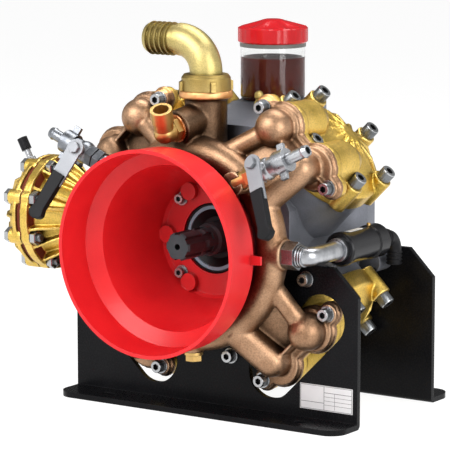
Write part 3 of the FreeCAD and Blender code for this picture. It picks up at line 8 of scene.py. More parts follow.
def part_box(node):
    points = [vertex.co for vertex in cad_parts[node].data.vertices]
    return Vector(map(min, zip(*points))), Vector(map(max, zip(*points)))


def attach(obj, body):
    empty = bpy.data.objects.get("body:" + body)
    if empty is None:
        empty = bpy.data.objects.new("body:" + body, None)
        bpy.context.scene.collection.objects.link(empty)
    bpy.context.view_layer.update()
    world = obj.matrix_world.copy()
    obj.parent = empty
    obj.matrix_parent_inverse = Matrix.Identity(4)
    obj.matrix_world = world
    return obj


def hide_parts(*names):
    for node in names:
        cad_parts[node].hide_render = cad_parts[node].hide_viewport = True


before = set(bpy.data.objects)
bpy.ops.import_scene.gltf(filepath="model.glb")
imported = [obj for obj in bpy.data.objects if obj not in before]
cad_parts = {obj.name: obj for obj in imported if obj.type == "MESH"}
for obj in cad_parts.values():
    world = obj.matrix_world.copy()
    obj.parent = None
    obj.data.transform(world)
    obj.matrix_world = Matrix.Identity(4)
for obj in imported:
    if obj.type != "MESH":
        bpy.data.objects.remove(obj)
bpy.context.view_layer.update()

# Crankcase: one grey aluminium casting, shot-blasted, with the front and rear bearing
# covers screwed to it.  The castings are the CAD pieces; their finish is made here.


def plain_material(name):
    """A new material, with its node tree and its shader."""
    made = bpy.data.materials.new(name)
    made.use_nodes = True
    return made, made.node_tree, made.node_tree.nodes["Principled BSDF"]


def noise(tree, scale, detail):
    """Noise on the piece's own coordinates."""
    place = tree.nodes.new("ShaderNodeTexCoord")
    cloud = tree.nodes.new("ShaderNodeTexNoise")
    cloud.inputs["Scale"].default_value = scale
    cloud.inputs["Detail"].default_value = detail
    tree.links.new(place.outputs["Object"], cloud.inputs["Vector"])
    return cloud.outputs["Fac"]


def ranged(tree, value, low, high, start=0.0, end=1.0, smooth=False):
    """Start where the value is low, end where it is high, and a slope between."""
    slope = tree.nodes.new("ShaderNodeMapRange")
    if smooth:
        slope.interpolation_type = "SMOOTHSTEP"
    for socket, amount in (("From Min", low), ("From Max", high), ("To Min", start), ("To Max", end)):
        slope.inputs[socket].default_value = amount
    tree.links.new(value, slope.inputs["Value"])
    return slope.outputs["Result"]


def mixed(tree, share, first, second):
    """The first colour where the share is 0, the second where it is 1."""
    blend = tree.nodes.new("ShaderNodeMix")
    blend.data_type = "RGBA"
    for socket, colour in (("A", first), ("B", second)):
        if isinstance(colour, tuple):
            blend.inputs[socket].default_value = (*colour, 1)
        else:
            tree.links.new(colour, blend.inputs[socket])
    tree.links.new(share, blend.inputs["Factor"])
    return blend.outputs["Result"]


def scaled(tree, colour, share):
    """A colour times a share."""
    product = tree.nodes.new("ShaderNodeVectorMath")
    product.operation = "SCALE"
    tree.links.new(colour, product.inputs["Vector"])
    tree.links.new(share, product.inputs["Scale"])
    return product.outputs["Vector"]


CLOUD_EDGES = (0.3, 0.7)
WEAR_AND_SHEEN_EDGES = (0.52, 0.60)
OPEN_CORNER = (0.30, 0.82)
SAND_EDGES = (0.35, 0.60)
RELIEF_DEPTH = 0.0006
SHADER_RAYS = 6
SAND_DETAIL = 5.0
CLOUD_DETAIL = 4.0
SPECK_GLINT = 0.3
GLOSSIER = 0.08
DULLER = 0.10
LEAST_ROUGHNESS = 0.02


def finish(name, pale, deep, metallic, roughness, grain, relief, round_off=0.0, wear_and_sheen=None, cloud=26.0,
           painted_shade=None, shine=0.5, speck=0.0, dim=0.22):
    """Blasted or moulded surface: fine grain in the relief, slow clouds in the colour, eased edges,
    standing edges lighter, partly as wear and partly as painted sheen, painted shade in the corners, specks
    of the mould's sand."""
    made, tree, shader = plain_material(name)
    shader.inputs["Metallic"].default_value = metallic
    shader.inputs["Specular IOR Level"].default_value = shine
    sand = noise(tree, grain, SAND_DETAIL)
    clouds = ranged(tree, noise(tree, cloud, CLOUD_DETAIL), *CLOUD_EDGES)
    colour = mixed(tree, clouds, deep, pale)
    # Edges that stand out are made lighter: partly real wear, partly a painted sheen.
    if wear_and_sheen:
        shape = tree.nodes.new("ShaderNodeNewGeometry")
        colour = mixed(tree, ranged(tree, shape.outputs["Pointiness"], *WEAR_AND_SHEEN_EDGES), colour, wear_and_sheen)
    # Painted shade: an ambient-occlusion mask darkens the colour in corners, creases and recesses.
    if painted_shade:
        corner = tree.nodes.new("ShaderNodeAmbientOcclusion")
        corner.samples = SHADER_RAYS
        corner.inputs["Distance"].default_value = painted_shade
        colour = scaled(tree, colour, ranged(tree, corner.outputs["AO"], *OPEN_CORNER, start=dim))
    if speck:
        specks = ranged(tree, sand, *SAND_EDGES, start=1 - speck, end=1 + speck * SPECK_GLINT)
        colour = scaled(tree, colour, specks)
    tree.links.new(colour, shader.inputs["Base Color"])
    glossiest = max(roughness - GLOSSIER, LEAST_ROUGHNESS)
    matt = ranged(tree, sand, 0.0, 1.0, start=glossiest, end=roughness + DULLER)
    tree.links.new(matt, shader.inputs["Roughness"])
    bump = tree.nodes.new("ShaderNodeBump")
    bump.inputs["Strength"].default_value = relief
    bump.inputs["Distance"].default_value = RELIEF_DEPTH
    tree.links.new(sand, bump.inputs["Height"])
    if round_off:
        rounded = tree.nodes.new("ShaderNodeBevel")
        rounded.samples = SHADER_RAYS
        rounded.inputs["Radius"].default_value = round_off
        tree.links.new(rounded.outputs["Normal"], bump.inputs["Normal"])
    tree.links.new(bump.outputs["Normal"], shader.inputs["Normal"])
    return made


def dress(material, *nodes):
    """Gives CAD nodes their finish."""
    for node in nodes:
        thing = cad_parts[node]
        if not thing.material_slots:
            thing.data.materials.append(material)
        for place in thing.material_slots:
            place.material = material


dress(finish("case_grey", (0.26, 0.27, 0.31), (0.18, 0.19, 0.22), metallic=0.5, roughness=0.40, grain=900,
             relief=0.30, round_off=0.0018, painted_shade=0.03, speck=0.15), "crankcase", "front_cover", "rear_cover")

# Cap screws: zinc-plated hexagon socket screws, knurled round the head, most of them on
# plain washers.  They are drawn up from circles; the first ones hold the rear cover.
WASHER_THICK = 0.0018
WASHER_EDGE = 0.0003
WASHER_INSET = 0.96
CHAMFER_RADIUS = 0.9
CHAMFER_DROP = 0.11
KEY_RADIUS = 0.55
KEY_DEPTH = 0.55
KNURL_STEP = 10
KNURL_RADIUS = 0.95
KNURLED = 1
SOCKET = 2
SHAFT_HEIGHT = 214.0
zinc = finish("zinc", (0.52, 0.53, 0.54), (0.36, 0.37, 0.38), metallic=1.0, roughness=0.26, grain=1400,
              relief=0.12, painted_shade=0.004)
screw_grey = finish("screw_grey", (0.24, 0.25, 0.26), (0.14, 0.15, 0.16), metallic=0.9, roughness=0.34,
                    grain=1400, relief=0.15)
# The socket's near-black is painted shade in the recess.
socket_painted_shade = finish("socket_painted_shade", (0.030, 0.030, 0.032), (0.015, 0.015, 0.016), metallic=0.7,
                     roughness=0.5, grain=1400, relief=0.1)
SCREW = [zinc, screw_grey, socket_painted_shade]


def pump_point(across, up, ahead):
    """A place in millimetres from the middle of the shaft axis, in metres from the floor's origin."""
    return Vector((across, -ahead, SHAFT_HEIGHT + up)) / 1000


def pump_way(across, up, ahead):
    return Vector((across, -ahead, up)).normalized()


def facing(spot, direction, side=(0.0, 0.0, 1.0)):
    """Placement at a spot, with its z axis along a direction."""
    outward = Vector(direction).normalized()
    across = Vector(side).cross(outward)
    if across.length < 1e-4:
        across = Vector((1, 0, 0))
    across.normalize()
    placement = Matrix((across, outward.cross(across), outward)).transposed().to_4x4()
    placement.translation = spot
    return placement


def points_of(grown):
    return [item for item in grown if isinstance(item, bmesh.types.BMVert)]


def edges_of(grown):
    return [item for item in grown if isinstance(item, bmesh.types.BMEdge)]


def faces_of(grown):
    return [item for item in grown if isinstance(item, bmesh.types.BMFace)]


def turned(form, spot, direction, profile, segments=32, index=0):
    """Draws a closed turned shape up from a circle; the profile gives radius and height."""
    radius, height = profile[0]
    ring = bmesh.ops.create_circle(form, radius=radius, segments=segments)["verts"]
    bmesh.ops.translate(form, verts=ring, vec=(0, 0, height))
    made = list(ring)
    edges = list({edge for vert in ring for edge in vert.link_edges})
    faces = bmesh.ops.contextual_create(form, geom=edges)["faces"]
    for next_radius, next_height in profile[1:]:
        grown = bmesh.ops.extrude_edge_only(form, edges=edges)["geom"]
        ring = points_of(grown)
        edges = edges_of(grown)
        faces += faces_of(grown)
        bmesh.ops.scale(form, verts=ring, vec=(next_radius / radius, next_radius / radius, 1))
        bmesh.ops.translate(form, verts=ring, vec=(0, 0, next_height - height))
        made += ring
        radius, height = next_radius, next_height
    faces += bmesh.ops.contextual_create(form, geom=edges)["faces"]
    for face in faces:
        face.material_index = index
    bmesh.ops.transform(form, matrix=facing(spot, direction), verts=made)
    return made


def cap_screw(form, spot, direction, radius, height, washer=0.0):
    """Adds one socket screw head to a mesh; the spot is where it, or its washer, sits.

    It is plated; its knurled side is coloured darker, and its socket is painted near-black as shade.
    """
    seat = 0.0
    if washer:
        seat = WASHER_THICK
        turned(form, spot, direction, ((washer * WASHER_INSET, 0), (washer, WASHER_EDGE),
                                       (washer, seat - WASHER_EDGE), (washer * WASHER_INSET, seat)))
    rim = bmesh.ops.create_circle(form, radius=radius * CHAMFER_RADIUS, segments=360 // KNURL_STEP)["verts"]
    key = bmesh.ops.create_circle(form, radius=radius * KEY_RADIUS, segments=6)["verts"]
    bmesh.ops.translate(form, verts=rim + key, vec=(0, 0, seat + height))
    rim_edges = list({edge for vert in rim for edge in vert.link_edges})
    key_edges = list({edge for vert in key for edge in vert.link_edges})
    bmesh.ops.bridge_loops(form, edges=rim_edges + key_edges)
    sunk = bmesh.ops.extrude_edge_only(form, edges=key_edges)["geom"]
    low = points_of(sunk)
    bmesh.ops.translate(form, verts=low, vec=(0, 0, -height * KEY_DEPTH))
    floor = bmesh.ops.contextual_create(form, geom=edges_of(sunk))
    for face in floor["faces"] + faces_of(sunk):
        face.material_index = SOCKET
    side = bmesh.ops.extrude_edge_only(form, edges=rim_edges)["geom"]
    shoulder = points_of(side)
    bmesh.ops.scale(form, verts=shoulder, vec=(1 / CHAMFER_RADIUS, 1 / CHAMFER_RADIUS, 1))
    bmesh.ops.translate(form, verts=shoulder, vec=(0, 0, -radius * CHAMFER_DROP))
    wall = bmesh.ops.extrude_edge_only(form, edges=edges_of(side))["geom"]
    foot = points_of(wall)
    for face in faces_of(wall):
        face.material_index = KNURLED
    for vert in foot:
        vert.co.z = seat
    for vert in shoulder + foot:
        tooth = round(math.atan2(vert.co.y, vert.co.x) / math.radians(KNURL_STEP))
        if tooth % 2:
            vert.co.xy *= KNURL_RADIUS
    bmesh.ops.transform(form, matrix=facing(spot, direction), verts=rim + key + low + shoulder + foot)


def finished(name, form, finishes, body, angle=35):
    """Turns a mesh being built into a piece that rides on a body."""
    bmesh.ops.recalc_face_normals(form, faces=form.faces)
    mesh = bpy.data.meshes.new(name)
    form.to_mesh(mesh)
    form.free()
    for material in finishes:
        mesh.materials.append(material)
    mesh.shade_smooth()
    mesh.set_sharp_from_angle(angle=math.radians(angle))
    piece = bpy.data.objects.new(name, mesh)
    bpy.context.scene.collection.objects.link(piece)
    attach(piece, body)
    return piece


def turns(count, first):
    """Angles evenly round a circle, from a first one in degrees."""
    return [math.radians(first + 360 / count * index) for index in range(count)]


def round_shaft(radius, turn, ahead):
    return pump_point(radius * math.cos(turn), radius * math.sin(turn), ahead)


REAR_COVER = -100
COVER_SCREW_CIRCLE = 61
COVER_SCREW = (0.0058, 0.007, 0.008)
cover_screws = bmesh.new()
for turn in turns(8, 22.5):
    spot = round_shaft(COVER_SCREW_CIRCLE, turn, REAR_COVER)
    cap_screw(cover_screws, spot, pump_way(0, 0, -1), *COVER_SCREW)
finished("rear_cover_screws", cover_screws, SCREW, "pump")

# Heads: four gilt castings, each a lobed disc with a ribbed dome and two valve chambers.
# The CAD shape is copied as a casting whose corners run into each other, as poured metal
# does, and six tall screws hold each head.
HEAD_ANGLES = (45, 135, 225, 315)
HEAD_SCREWS = ((66, 35), (66, -33), (-66, 35), (-66, -33), (0, 58), (0, -71))
HEAD_SCREW = (0.0092, 0.0135)
HEAD_SEAT = 169.7
HUB_BACK = 21
RIB_SPACING = 30
RIB_FLANK = (2.2, 5.5)
HUB_EDGE = (12, 40)
SCREW_BOSS = (12, 16)
POCKET_FLOOR = 158.5
POCKET_SHARE = 0.9
SAME_PLACE = 0.000002
EASE_SHARE = 0.5
gilt = finish("gilt", (0.90, 0.62, 0.16), (0.62, 0.42, 0.075), metallic=1.0, roughness=0.38, grain=520,
              relief=0.60, wear_and_sheen=(0.94, 0.74, 0.32), cloud=34.0, painted_shade=0.016, speck=0.20)


def casting(node, material, voxel, rounds, carve=None):
    """A copy of a CAD node with its corners run together; it stands for the node.

    What is given as carve takes each vertex and may move it before the corners are eased.
    """
    form = bmesh.new()
    form.from_mesh(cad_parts[node].data)
    bmesh.ops.remove_doubles(form, verts=form.verts, dist=SAME_PLACE)
    mesh = bpy.data.meshes.new(node + "_casting")
    form.to_mesh(mesh)
    form.free()
    piece = bpy.data.objects.new(node + "_casting", mesh)
    bpy.context.scene.collection.objects.link(piece)
    pour = piece.modifiers.new("pour", "REMESH")
    pour.mode = "VOXEL"
    pour.voxel_size = voxel
    if carve:
        poured = piece.evaluated_get(bpy.context.evaluated_depsgraph_get())
        piece.data = bpy.data.meshes.new_from_object(poured)
        piece.modifiers.clear()
        for vert in piece.data.vertices:
            carve(vert)
    ease = piece.modifiers.new("ease", "SMOOTH")
    ease.factor = EASE_SHARE
    ease.iterations = rounds
    settled = piece.evaluated_get(bpy.context.evaluated_depsgraph_get())
    piece.data = bpy.data.meshes.new_from_object(settled)
    piece.modifiers.clear()
    piece.data.materials.clear()
    piece.data.materials.append(material)
    piece.data.shade_smooth()
    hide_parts(node)
    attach(piece, "pump")


def head_point(angle, side, ahead, out):
    """A place on a head: along the pump's rim, forward, and out from the shaft axis."""
    turn = math.radians(angle)
    return pump_point(out * math.cos(turn) - side * math.sin(turn),
                      out * math.sin(turn) + side * math.cos(turn), ahead)


def eased(low, high, value):
    share = min(max((value - low) / (high - low), 0.0), 1.0)
    return share * share * (3 - 2 * share)


def rib_pockets(angle):
    """Sinks the back of a dome between seven ribs that fan out from its hub."""
    turn = math.radians(angle)
    outward = Vector((math.cos(turn), 0, math.sin(turn)))
    sideways = Vector((-math.sin(turn), 0, math.cos(turn)))

    def carve(vert):
        spot = (vert.co - Vector((0, 0, SHAFT_HEIGHT / 1000))) * 1000
        height = spot.dot(outward)
        side = spot.dot(sideways)
        back = spot.y - HUB_BACK
        if height < POCKET_FLOOR or back < 0:
            return
        reach = math.hypot(side, back)
        bearing = math.degrees(math.atan2(side, back)) / RIB_SPACING
        off_rib = reach * math.sin(math.radians(abs(bearing - round(bearing)) * RIB_SPACING))
        depth = eased(*RIB_FLANK, off_rib) * eased(*HUB_EDGE, reach) * POCKET_SHARE
        for screw_side, screw_ahead in HEAD_SCREWS:
            depth *= eased(*SCREW_BOSS, math.hypot(side - screw_side, spot.y + screw_ahead))
        vert.co -= outward * depth * (height - POCKET_FLOOR) / 1000

    return carve


head_screws = bmesh.new()
for number, angle in enumerate(HEAD_ANGLES, 1):
    casting("head_%d" % number, gilt, voxel=0.0014, rounds=2, carve=rib_pockets(angle))
    outward = pump_way(math.cos(math.radians(angle)), math.sin(math.radians(angle)), 0)
    for side, ahead in HEAD_SCREWS:
        cap_screw(head_screws, head_point(angle, side, ahead, HEAD_SEAT), outward, *HEAD_SCREW)
finished("head_screws", head_screws, SCREW, "pump")

# Manifold: cast bronze ring with a ball port and an elbow port to each head, bolted
# through the ears of its stepped flanges.  The flange under the suction elbow is turned
# bright, and the tower below it is darkened with a painted shadow of the elbow and its nut.
PORT_SCREW_PLACES = ((64.5, 95.8, 172), (-64.5, 95.8, 172))
PORT_SCREW = (0.0078, 0.010, 0.0100)
TURNED_FLANGE = (0.3885, 0.3895)
TURNED_COLOUR = (0.86, 0.47, 0.20)
SHADOW_ABOVE = (0.325, 0.345)
SHADOW_BESIDE = (0.036, 0.056)
SHADOW_DEPTH = 0.30


def reckoned(tree, operation, *values):
    """The result of a sum on numbers and sockets."""
    result = tree.nodes.new("ShaderNodeMath")
    result.operation = operation
    for socket, value in zip(result.inputs, values):
        if isinstance(value, float):
            socket.default_value = value
        else:
            tree.links.new(value, socket)
    return result.outputs["Value"]


# A wide painted shade darkens the bronze next to the guard, where the guard shades it.
bronze = finish("bronze", (0.54, 0.33, 0.20), (0.28, 0.155, 0.085), metallic=1.0, roughness=0.42, grain=520,
                relief=0.60, wear_and_sheen=(0.82, 0.55, 0.36), cloud=30.0, painted_shade=0.045, speck=0.24, dim=0.15)
tree = bronze.node_tree
base = tree.nodes["Principled BSDF"].inputs["Base Color"]
place = tree.nodes.new("ShaderNodeTexCoord")
levels = tree.nodes.new("ShaderNodeSeparateXYZ")
tree.links.new(place.outputs["Object"], levels.inputs["Vector"])
# Painted shadow: the tower under the suction elbow is darkened, as the elbow and its nut shade it.
above = ranged(tree, levels.outputs["Z"], *SHADOW_ABOVE)
beside = ranged(tree, reckoned(tree, "ABSOLUTE", levels.outputs["X"]), *SHADOW_BESIDE, start=1.0, end=0.0)
painted_shadow = ranged(tree, reckoned(tree, "MULTIPLY", above, beside), 0.0, 1.0, start=1.0, end=SHADOW_DEPTH)
shadowed = scaled(tree, base.links[0].from_socket, painted_shadow)
lathe = ranged(tree, levels.outputs["Z"], *TURNED_FLANGE)
tree.links.new(mixed(tree, lathe, shadowed, TURNED_COLOUR), base)
casting("manifold", bronze, voxel=0.0018, rounds=3)
port_screws = bmesh.new()
for angle in HEAD_ANGLES:
    for place in PORT_SCREW_PLACES:
        cap_screw(port_screws, head_point(angle, *place), pump_way(0, 0, 1), *PORT_SCREW)
finished("port_screws", port_screws, SCREW, "pump")

# Brackets: folded steel plate in glossy black paint, one at each end, screwed to the lugs
# of the crankcase.  The front one carries a bare data plate with ruled cells.
PLATE_FACE = 93
BRACKET_SCREWS = ((136, -37), (-136, -37), (27, -143), (-27, -143))
BRACKET_SCREW = (0.0078, 0.009, 0.0100)
DATA_PLATE = (0, 0, 74, 31)
DATA_PLATE_THICK = 0.7
DATA_PLATE_MIDDLE = (165, -180, PLATE_FACE)
RULE_THICK = 0.12
RULE_LIFT = 0.68
RULES = ((-36, 0, 0.5, 29), (36, 0, 0.5, 29), (0, 14.5, 72, 0.5), (0, -14.5, 72, 0.5), (-3, 0, 0.6, 29),
         (16.5, 7, 39, 0.6), (16.5, 2, 39, 0.4), (16.5, -3, 39, 0.4), (16.5, -8, 39, 0.4), (12, -3, 0.4, 20),
         (-19.5, -6, 32, 0.6))
dress(finish("black_paint", (0.007, 0.007, 0.008), (0.004, 0.004, 0.005), metallic=0.0, roughness=0.26,
             grain=420, relief=0.08, round_off=0.0014, shine=0.11), "front_bracket", "rear_bracket")
bracket_screws = bmesh.new()
for across, up in BRACKET_SCREWS:
    for way in (1, -1):
        spot = pump_point(across, up, way * PLATE_FACE)
        cap_screw(bracket_screws, spot, pump_way(0, 0, way), *BRACKET_SCREW)
finished("bracket_screws", bracket_screws, SCREW, "pump")
plate_white = finish("plate_white", (0.80, 0.80, 0.80), (0.74, 0.74, 0.75), metallic=0.0, roughness=0.35,
                     grain=600, relief=0.05, cloud=60.0)
plate_line = finish("plate_line", (0.10, 0.10, 0.11), (0.07, 0.07, 0.08), metallic=0.0, roughness=0.5,
                    grain=600, relief=0.05)


def flat_panel(form, across, up, width, height, thick, lift, index):
    """Adds a thin plate, in millimetres, to a mesh that lies flat."""
    corners = bmesh.ops.create_grid(form, x_segments=1, y_segments=1, size=0.5)["verts"]
    bmesh.ops.scale(form, verts=corners, vec=(width / 1000, height / 1000, 1))
    bmesh.ops.translate(form, verts=corners, vec=(across / 1000, up / 1000, lift / 1000))
    sheet = list({face for vert in corners for face in vert.link_faces})
    raised = points_of(bmesh.ops.extrude_face_region(form, geom=sheet)["geom"])
    bmesh.ops.translate(form, verts=raised, vec=(0, 0, thick / 1000))
    for face in {face for vert in corners + raised for face in vert.link_faces}:
        face.material_index = index


plate = bmesh.new()
flat_panel(plate, *DATA_PLATE, DATA_PLATE_THICK, lift=0, index=0)
for rule in RULES:
    flat_panel(plate, *rule, RULE_THICK, lift=RULE_LIFT, index=1)
fixed = facing(pump_point(*DATA_PLATE_MIDDLE), pump_way(0, 0, 1))
bmesh.ops.transform(plate, matrix=fixed, verts=plate.verts)
finished("blank_plate", plate, [plate_white, plate_line], "pump", angle=20)

# Shaft guard: glossy red moulding, a funnel with a turned lip round the splined shaft,
# held by four screws through its floor.
GUARD_FLOOR = 92
GUARD_SCREW_CIRCLE = 65
GUARD_SCREW = (0.0064, 0.007, 0.0088)
# A wide, soft painted shade darkens the red deep in the funnel.
dress(finish("guard_red", (0.78, 0.018, 0.022), (0.70, 0.013, 0.018), metallic=0.0, roughness=0.32, grain=300,
             relief=0.05, round_off=0.0010, painted_shade=0.10, shine=0.35, dim=0.5), "shaft_guard")
guard_screws = bmesh.new()
for turn in turns(4, 45):
    spot = round_shaft(GUARD_SCREW_CIRCLE, turn, GUARD_FLOOR)
    cap_screw(guard_screws, spot, pump_way(0, 0, 1), *GUARD_SCREW)
finished("guard_screws", guard_screws, SCREW, "pump")

# Shaft and seal: blackened splined shaft in a rubber lip, held by a steel ring in a black
# carrier.
dress(finish("shaft_steel", (0.055, 0.062, 0.068), (0.028, 0.032, 0.036), metallic=0.0, roughness=0.36,
             grain=900, relief=0.15, round_off=0.0006, painted_shade=0.012, shine=0.15), "pto_shaft")
dress(finish("seal_steel", (0.22, 0.35, 0.43), (0.17, 0.28, 0.35), metallic=0.0, roughness=0.35, grain=1200,
             relief=0.1, round_off=0.0004), "seal_ring")
dress(finish("seal_black", (0.006, 0.006, 0.007), (0.004, 0.004, 0.005), metallic=0.0, roughness=0.33,
             grain=900, relief=0.1, round_off=0.0005, shine=0.15), "seal_carrier", "lip_seal")

# Suction elbow: bead-blasted brass bend with turned hose ridges, under a brass ring nut.
# The small elbow beside it sits on a copper washer, and a brass vent plug stands behind it.
VENT_HEXAGON = ((0.0062, 0), (0.0062, 0.012), (0.0050, 0.0135))
VENT_STEM = ((0.0042, 0), (0.0042, 0.004), (0.0055, 0.005), (0.0055, 0.009), (0.0044, 0.012),
             (0.0018, 0.0135))
VENT_PLACE = (19.8, 150, 20)
VENT_STEM_PLACE = (19.8, 163, 20)
brass = finish("brass", (0.66, 0.54, 0.24), (0.50, 0.40, 0.14), metallic=1.0, roughness=0.38, grain=800,
               relief=0.7, round_off=0.0006, painted_shade=0.010, speck=0.22)
polished_brass = finish("polished_brass", (0.74, 0.50, 0.20), (0.58, 0.37, 0.12), metallic=1.0,
                        roughness=0.38, grain=900, relief=0.15, round_off=0.0006, painted_shade=0.008)
dress(brass, "suction_elbow")
dress(finish("nut_brass", (0.52, 0.39, 0.15), (0.38, 0.27, 0.085), metallic=1.0, roughness=0.38, grain=1100,
             relief=0.5, round_off=0.0006, painted_shade=0.010, speck=0.22), "suction_nut")
dress(polished_brass, "branch_elbow", "drain_plug")
dress(finish("copper", (0.80, 0.36, 0.18), (0.66, 0.26, 0.11), metallic=1.0, roughness=0.26, grain=900,
             relief=0.15, round_off=0.0004), "branch_washer")
vent = bmesh.new()
turned(vent, pump_point(*VENT_PLACE), pump_way(0, 1, 0), VENT_HEXAGON, segments=6)
turned(vent, pump_point(*VENT_STEM_PLACE), pump_way(0, 1, 0), VENT_STEM, segments=24)
finished("vent_plug", vent, [brass], "pump")

# Oil cup: clear cup with brown gear oil, a grey seal and a red screw cap with a notched
# skirt and a petalled top.  The cup casts no shadow, so that the oil keeps its colour.
CUP_IOR = 1.3
CUP_ROUGHNESS = 0.07
OIL_SINK = 0.003
OIL_FLOOR = 0.034
OIL_CORNER = (0.0392, 0.005)
OIL_RADIUS = 0.0396
HAZE_SCALE = 70.0
HAZE_DETAIL = 2.0
SKIRT = 0.62
CAP_EDGE = 0.002
CAP_EDGE_RISE = 0.0016
CAP_SHARES = ((1, 0.32), (1, SKIRT), (0.96, 0.69), (0.80, 0.76), (0.58, 0.85), (0.36, 0.94), (0.28, 0.98),
              (0.22, 1))
PETALS = 8
PETAL_DEPTH = 0.0032
PETAL_MIDDLE = 0.72
PETAL_REACH = 0.34
NOTCHES = 16
NOTCH_DEPTH = 0.018
NOTCH_START = 0.55
cup_clear, tree, shader = plain_material("cup_clear")
shader.inputs["IOR"].default_value = CUP_IOR
shader.inputs["Transmission Weight"].default_value = 1.0
shader.inputs["Roughness"].default_value = CUP_ROUGHNESS
haze = mixed(tree, noise(tree, HAZE_SCALE, HAZE_DETAIL), (0.94, 0.95, 0.94), (0.99, 0.99, 0.99))
tree.links.new(haze, shader.inputs["Base Color"])
dress(cup_clear, "oil_cup")
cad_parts["oil_cup"].visible_shadow = False
oil_brown = finish("oil_brown", (0.060, 0.010, 0.007), (0.036, 0.006, 0.004), metallic=0.0, roughness=0.12,
                   grain=60, relief=0.0, cloud=14.0, shine=0.1)
oil_low, oil_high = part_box("oil")
oil_foot = Vector(((oil_low[0] + oil_high[0]) / 2, (oil_low[1] + oil_high[1]) / 2, oil_low[2] - OIL_SINK))
oil_side = ((OIL_FLOOR, 0), OIL_CORNER, (OIL_RADIUS, oil_high[2] - oil_low[2] + OIL_SINK))
oil_fill = bmesh.new()
turned(oil_fill, oil_foot, Vector((0, 0, 1)), oil_side, segments=96)
oil_piece = finished("oil_fill", oil_fill, [oil_brown], "pump")
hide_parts("oil")
dress(finish("seal_grey", (0.15, 0.15, 0.14), (0.09, 0.09, 0.085), metallic=0.0, roughness=0.45, grain=900,
             relief=0.2, round_off=0.0005), "cap_seal")
cap_low, cap_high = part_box("oil_cap")
cap_radius = (cap_high[0] - cap_low[0]) / 2
cap_middle = Vector(((cap_low[0] + cap_high[0]) / 2, (cap_low[1] + cap_high[1]) / 2, cap_low[2]))
cap_rise = cap_high[2] - cap_low[2]
cap_side = [(cap_radius - CAP_EDGE, 0), (cap_radius, CAP_EDGE_RISE)]
for radius, rise in CAP_SHARES:
    cap_side.append((cap_radius * radius, cap_rise * rise))
cap = bmesh.new()
for vert in turned(cap, Vector(), Vector((0, 0, 1)), cap_side, segments=96):
    turn = math.atan2(vert.co.y, vert.co.x)
    share = vert.co.xy.length / cap_radius
    if vert.co.z > cap_rise * SKIRT + 1e-5:
        petal = max(0.0, 1 - abs(share - PETAL_MIDDLE) / PETAL_REACH)
        vert.co.z -= PETAL_DEPTH * petal * (0.5 - 0.5 * math.cos(PETALS * turn))
    else:
        notch = max(0.0, math.cos(NOTCHES * turn) - NOTCH_START) / (1 - NOTCH_START)
        vert.co.xy *= 1 - NOTCH_DEPTH * notch
bmesh.ops.translate(cap, verts=cap.verts, vec=cap_middle)
cap_red = finish("cap_red", (0.56, 0.010, 0.015), (0.48, 0.008, 0.012), metallic=0.0, roughness=0.18,
                 grain=300, relief=0.03, shine=0.3)
cap_piece = finished("screw_cap", cap, [cap_red], "pump", angle=28)
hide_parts("oil_cap")

# Pulsation damper: two ribbed gilt bells bolted over a dark red rubber diaphragm, whose
# bead shows in the groove of the flange and which lines the pockets of its back; eight
# bolts with plated nuts, and an air valve.
DAMPER = (21, 134)
JOINT = -213
BOLT_CIRCLE = 63
NUT_SEAT = JOINT + 12.8
BOLT_SEAT = JOINT - 20.8
BEAD_FACE = JOINT - 0.8
POCKET_FACE = JOINT + 9
NUT = ((0.0092, 0), (0.0098, 0.0006), (0.0098, 0.0072), (0.0086, 0.008))
STUD = ((0.0050, 0.007), (0.0050, 0.0120), (0.0040, 0.0130))
BOLT_HEAD = ((0.0098, 0), (0.0098, 0.0055), (0.0084, 0.0066))
BEAD = ((0.0675, 0), (0.0682, 0.0006), (0.0682, 0.0044), (0.0675, 0.005))
POCKET_LINING = ((0.0660, 0), (0.0675, 0.0005), (0.0675, 0.0030), (0.0672, 0.0032))
rubber_red = finish("rubber_red", (0.20, 0.040, 0.014), (0.12, 0.020, 0.008), metallic=0.0, roughness=0.5,
                    grain=900, relief=0.2, painted_shade=0.004, shine=0.2)
casting("accumulator_inner", gilt, voxel=0.0013, rounds=2)
casting("accumulator_outer", gilt, voxel=0.0013, rounds=2)
dress(rubber_red, "accumulator_diaphragm")
bead = bmesh.new()
turned(bead, pump_point(BEAD_FACE, *DAMPER), pump_way(-1, 0, 0), BEAD, segments=96)
finished("diaphragm_bead", bead, [rubber_red], "pump")
pockets = bmesh.new()
turned(pockets, pump_point(POCKET_FACE, *DAMPER), pump_way(1, 0, 0), POCKET_LINING, segments=96)
finished("flange_pockets", pockets, [rubber_red], "pump")
damper_bolts = bmesh.new()
for turn in turns(8, 22.5):
    up, ahead = DAMPER[0] + BOLT_CIRCLE * math.sin(turn), DAMPER[1] + BOLT_CIRCLE * math.cos(turn)
    turned(damper_bolts, pump_point(NUT_SEAT, up, ahead), pump_way(1, 0, 0), NUT, segments=6)
    turned(damper_bolts, pump_point(NUT_SEAT, up, ahead), pump_way(1, 0, 0), STUD, segments=20, index=KNURLED)
    turned(damper_bolts, pump_point(BOLT_SEAT, up, ahead), pump_way(-1, 0, 0), BOLT_HEAD, segments=6)
finished("damper_bolts", damper_bolts, [zinc, screw_grey], "pump")
nickel = finish("nickel", (0.52, 0.53, 0.55), (0.32, 0.33, 0.35), metallic=1.0, roughness=0.28, grain=900,
                relief=0.12, round_off=0.0005, painted_shade=0.007)
black_mould = finish("black_mould", (0.012, 0.012, 0.014), (0.008, 0.008, 0.009), metallic=0.0,
                     roughness=0.38, grain=900, relief=0.25, round_off=0.0022, shine=0.14)
dress(nickel, "air_valve_stem")
dress(black_mould, "air_valve_cap")
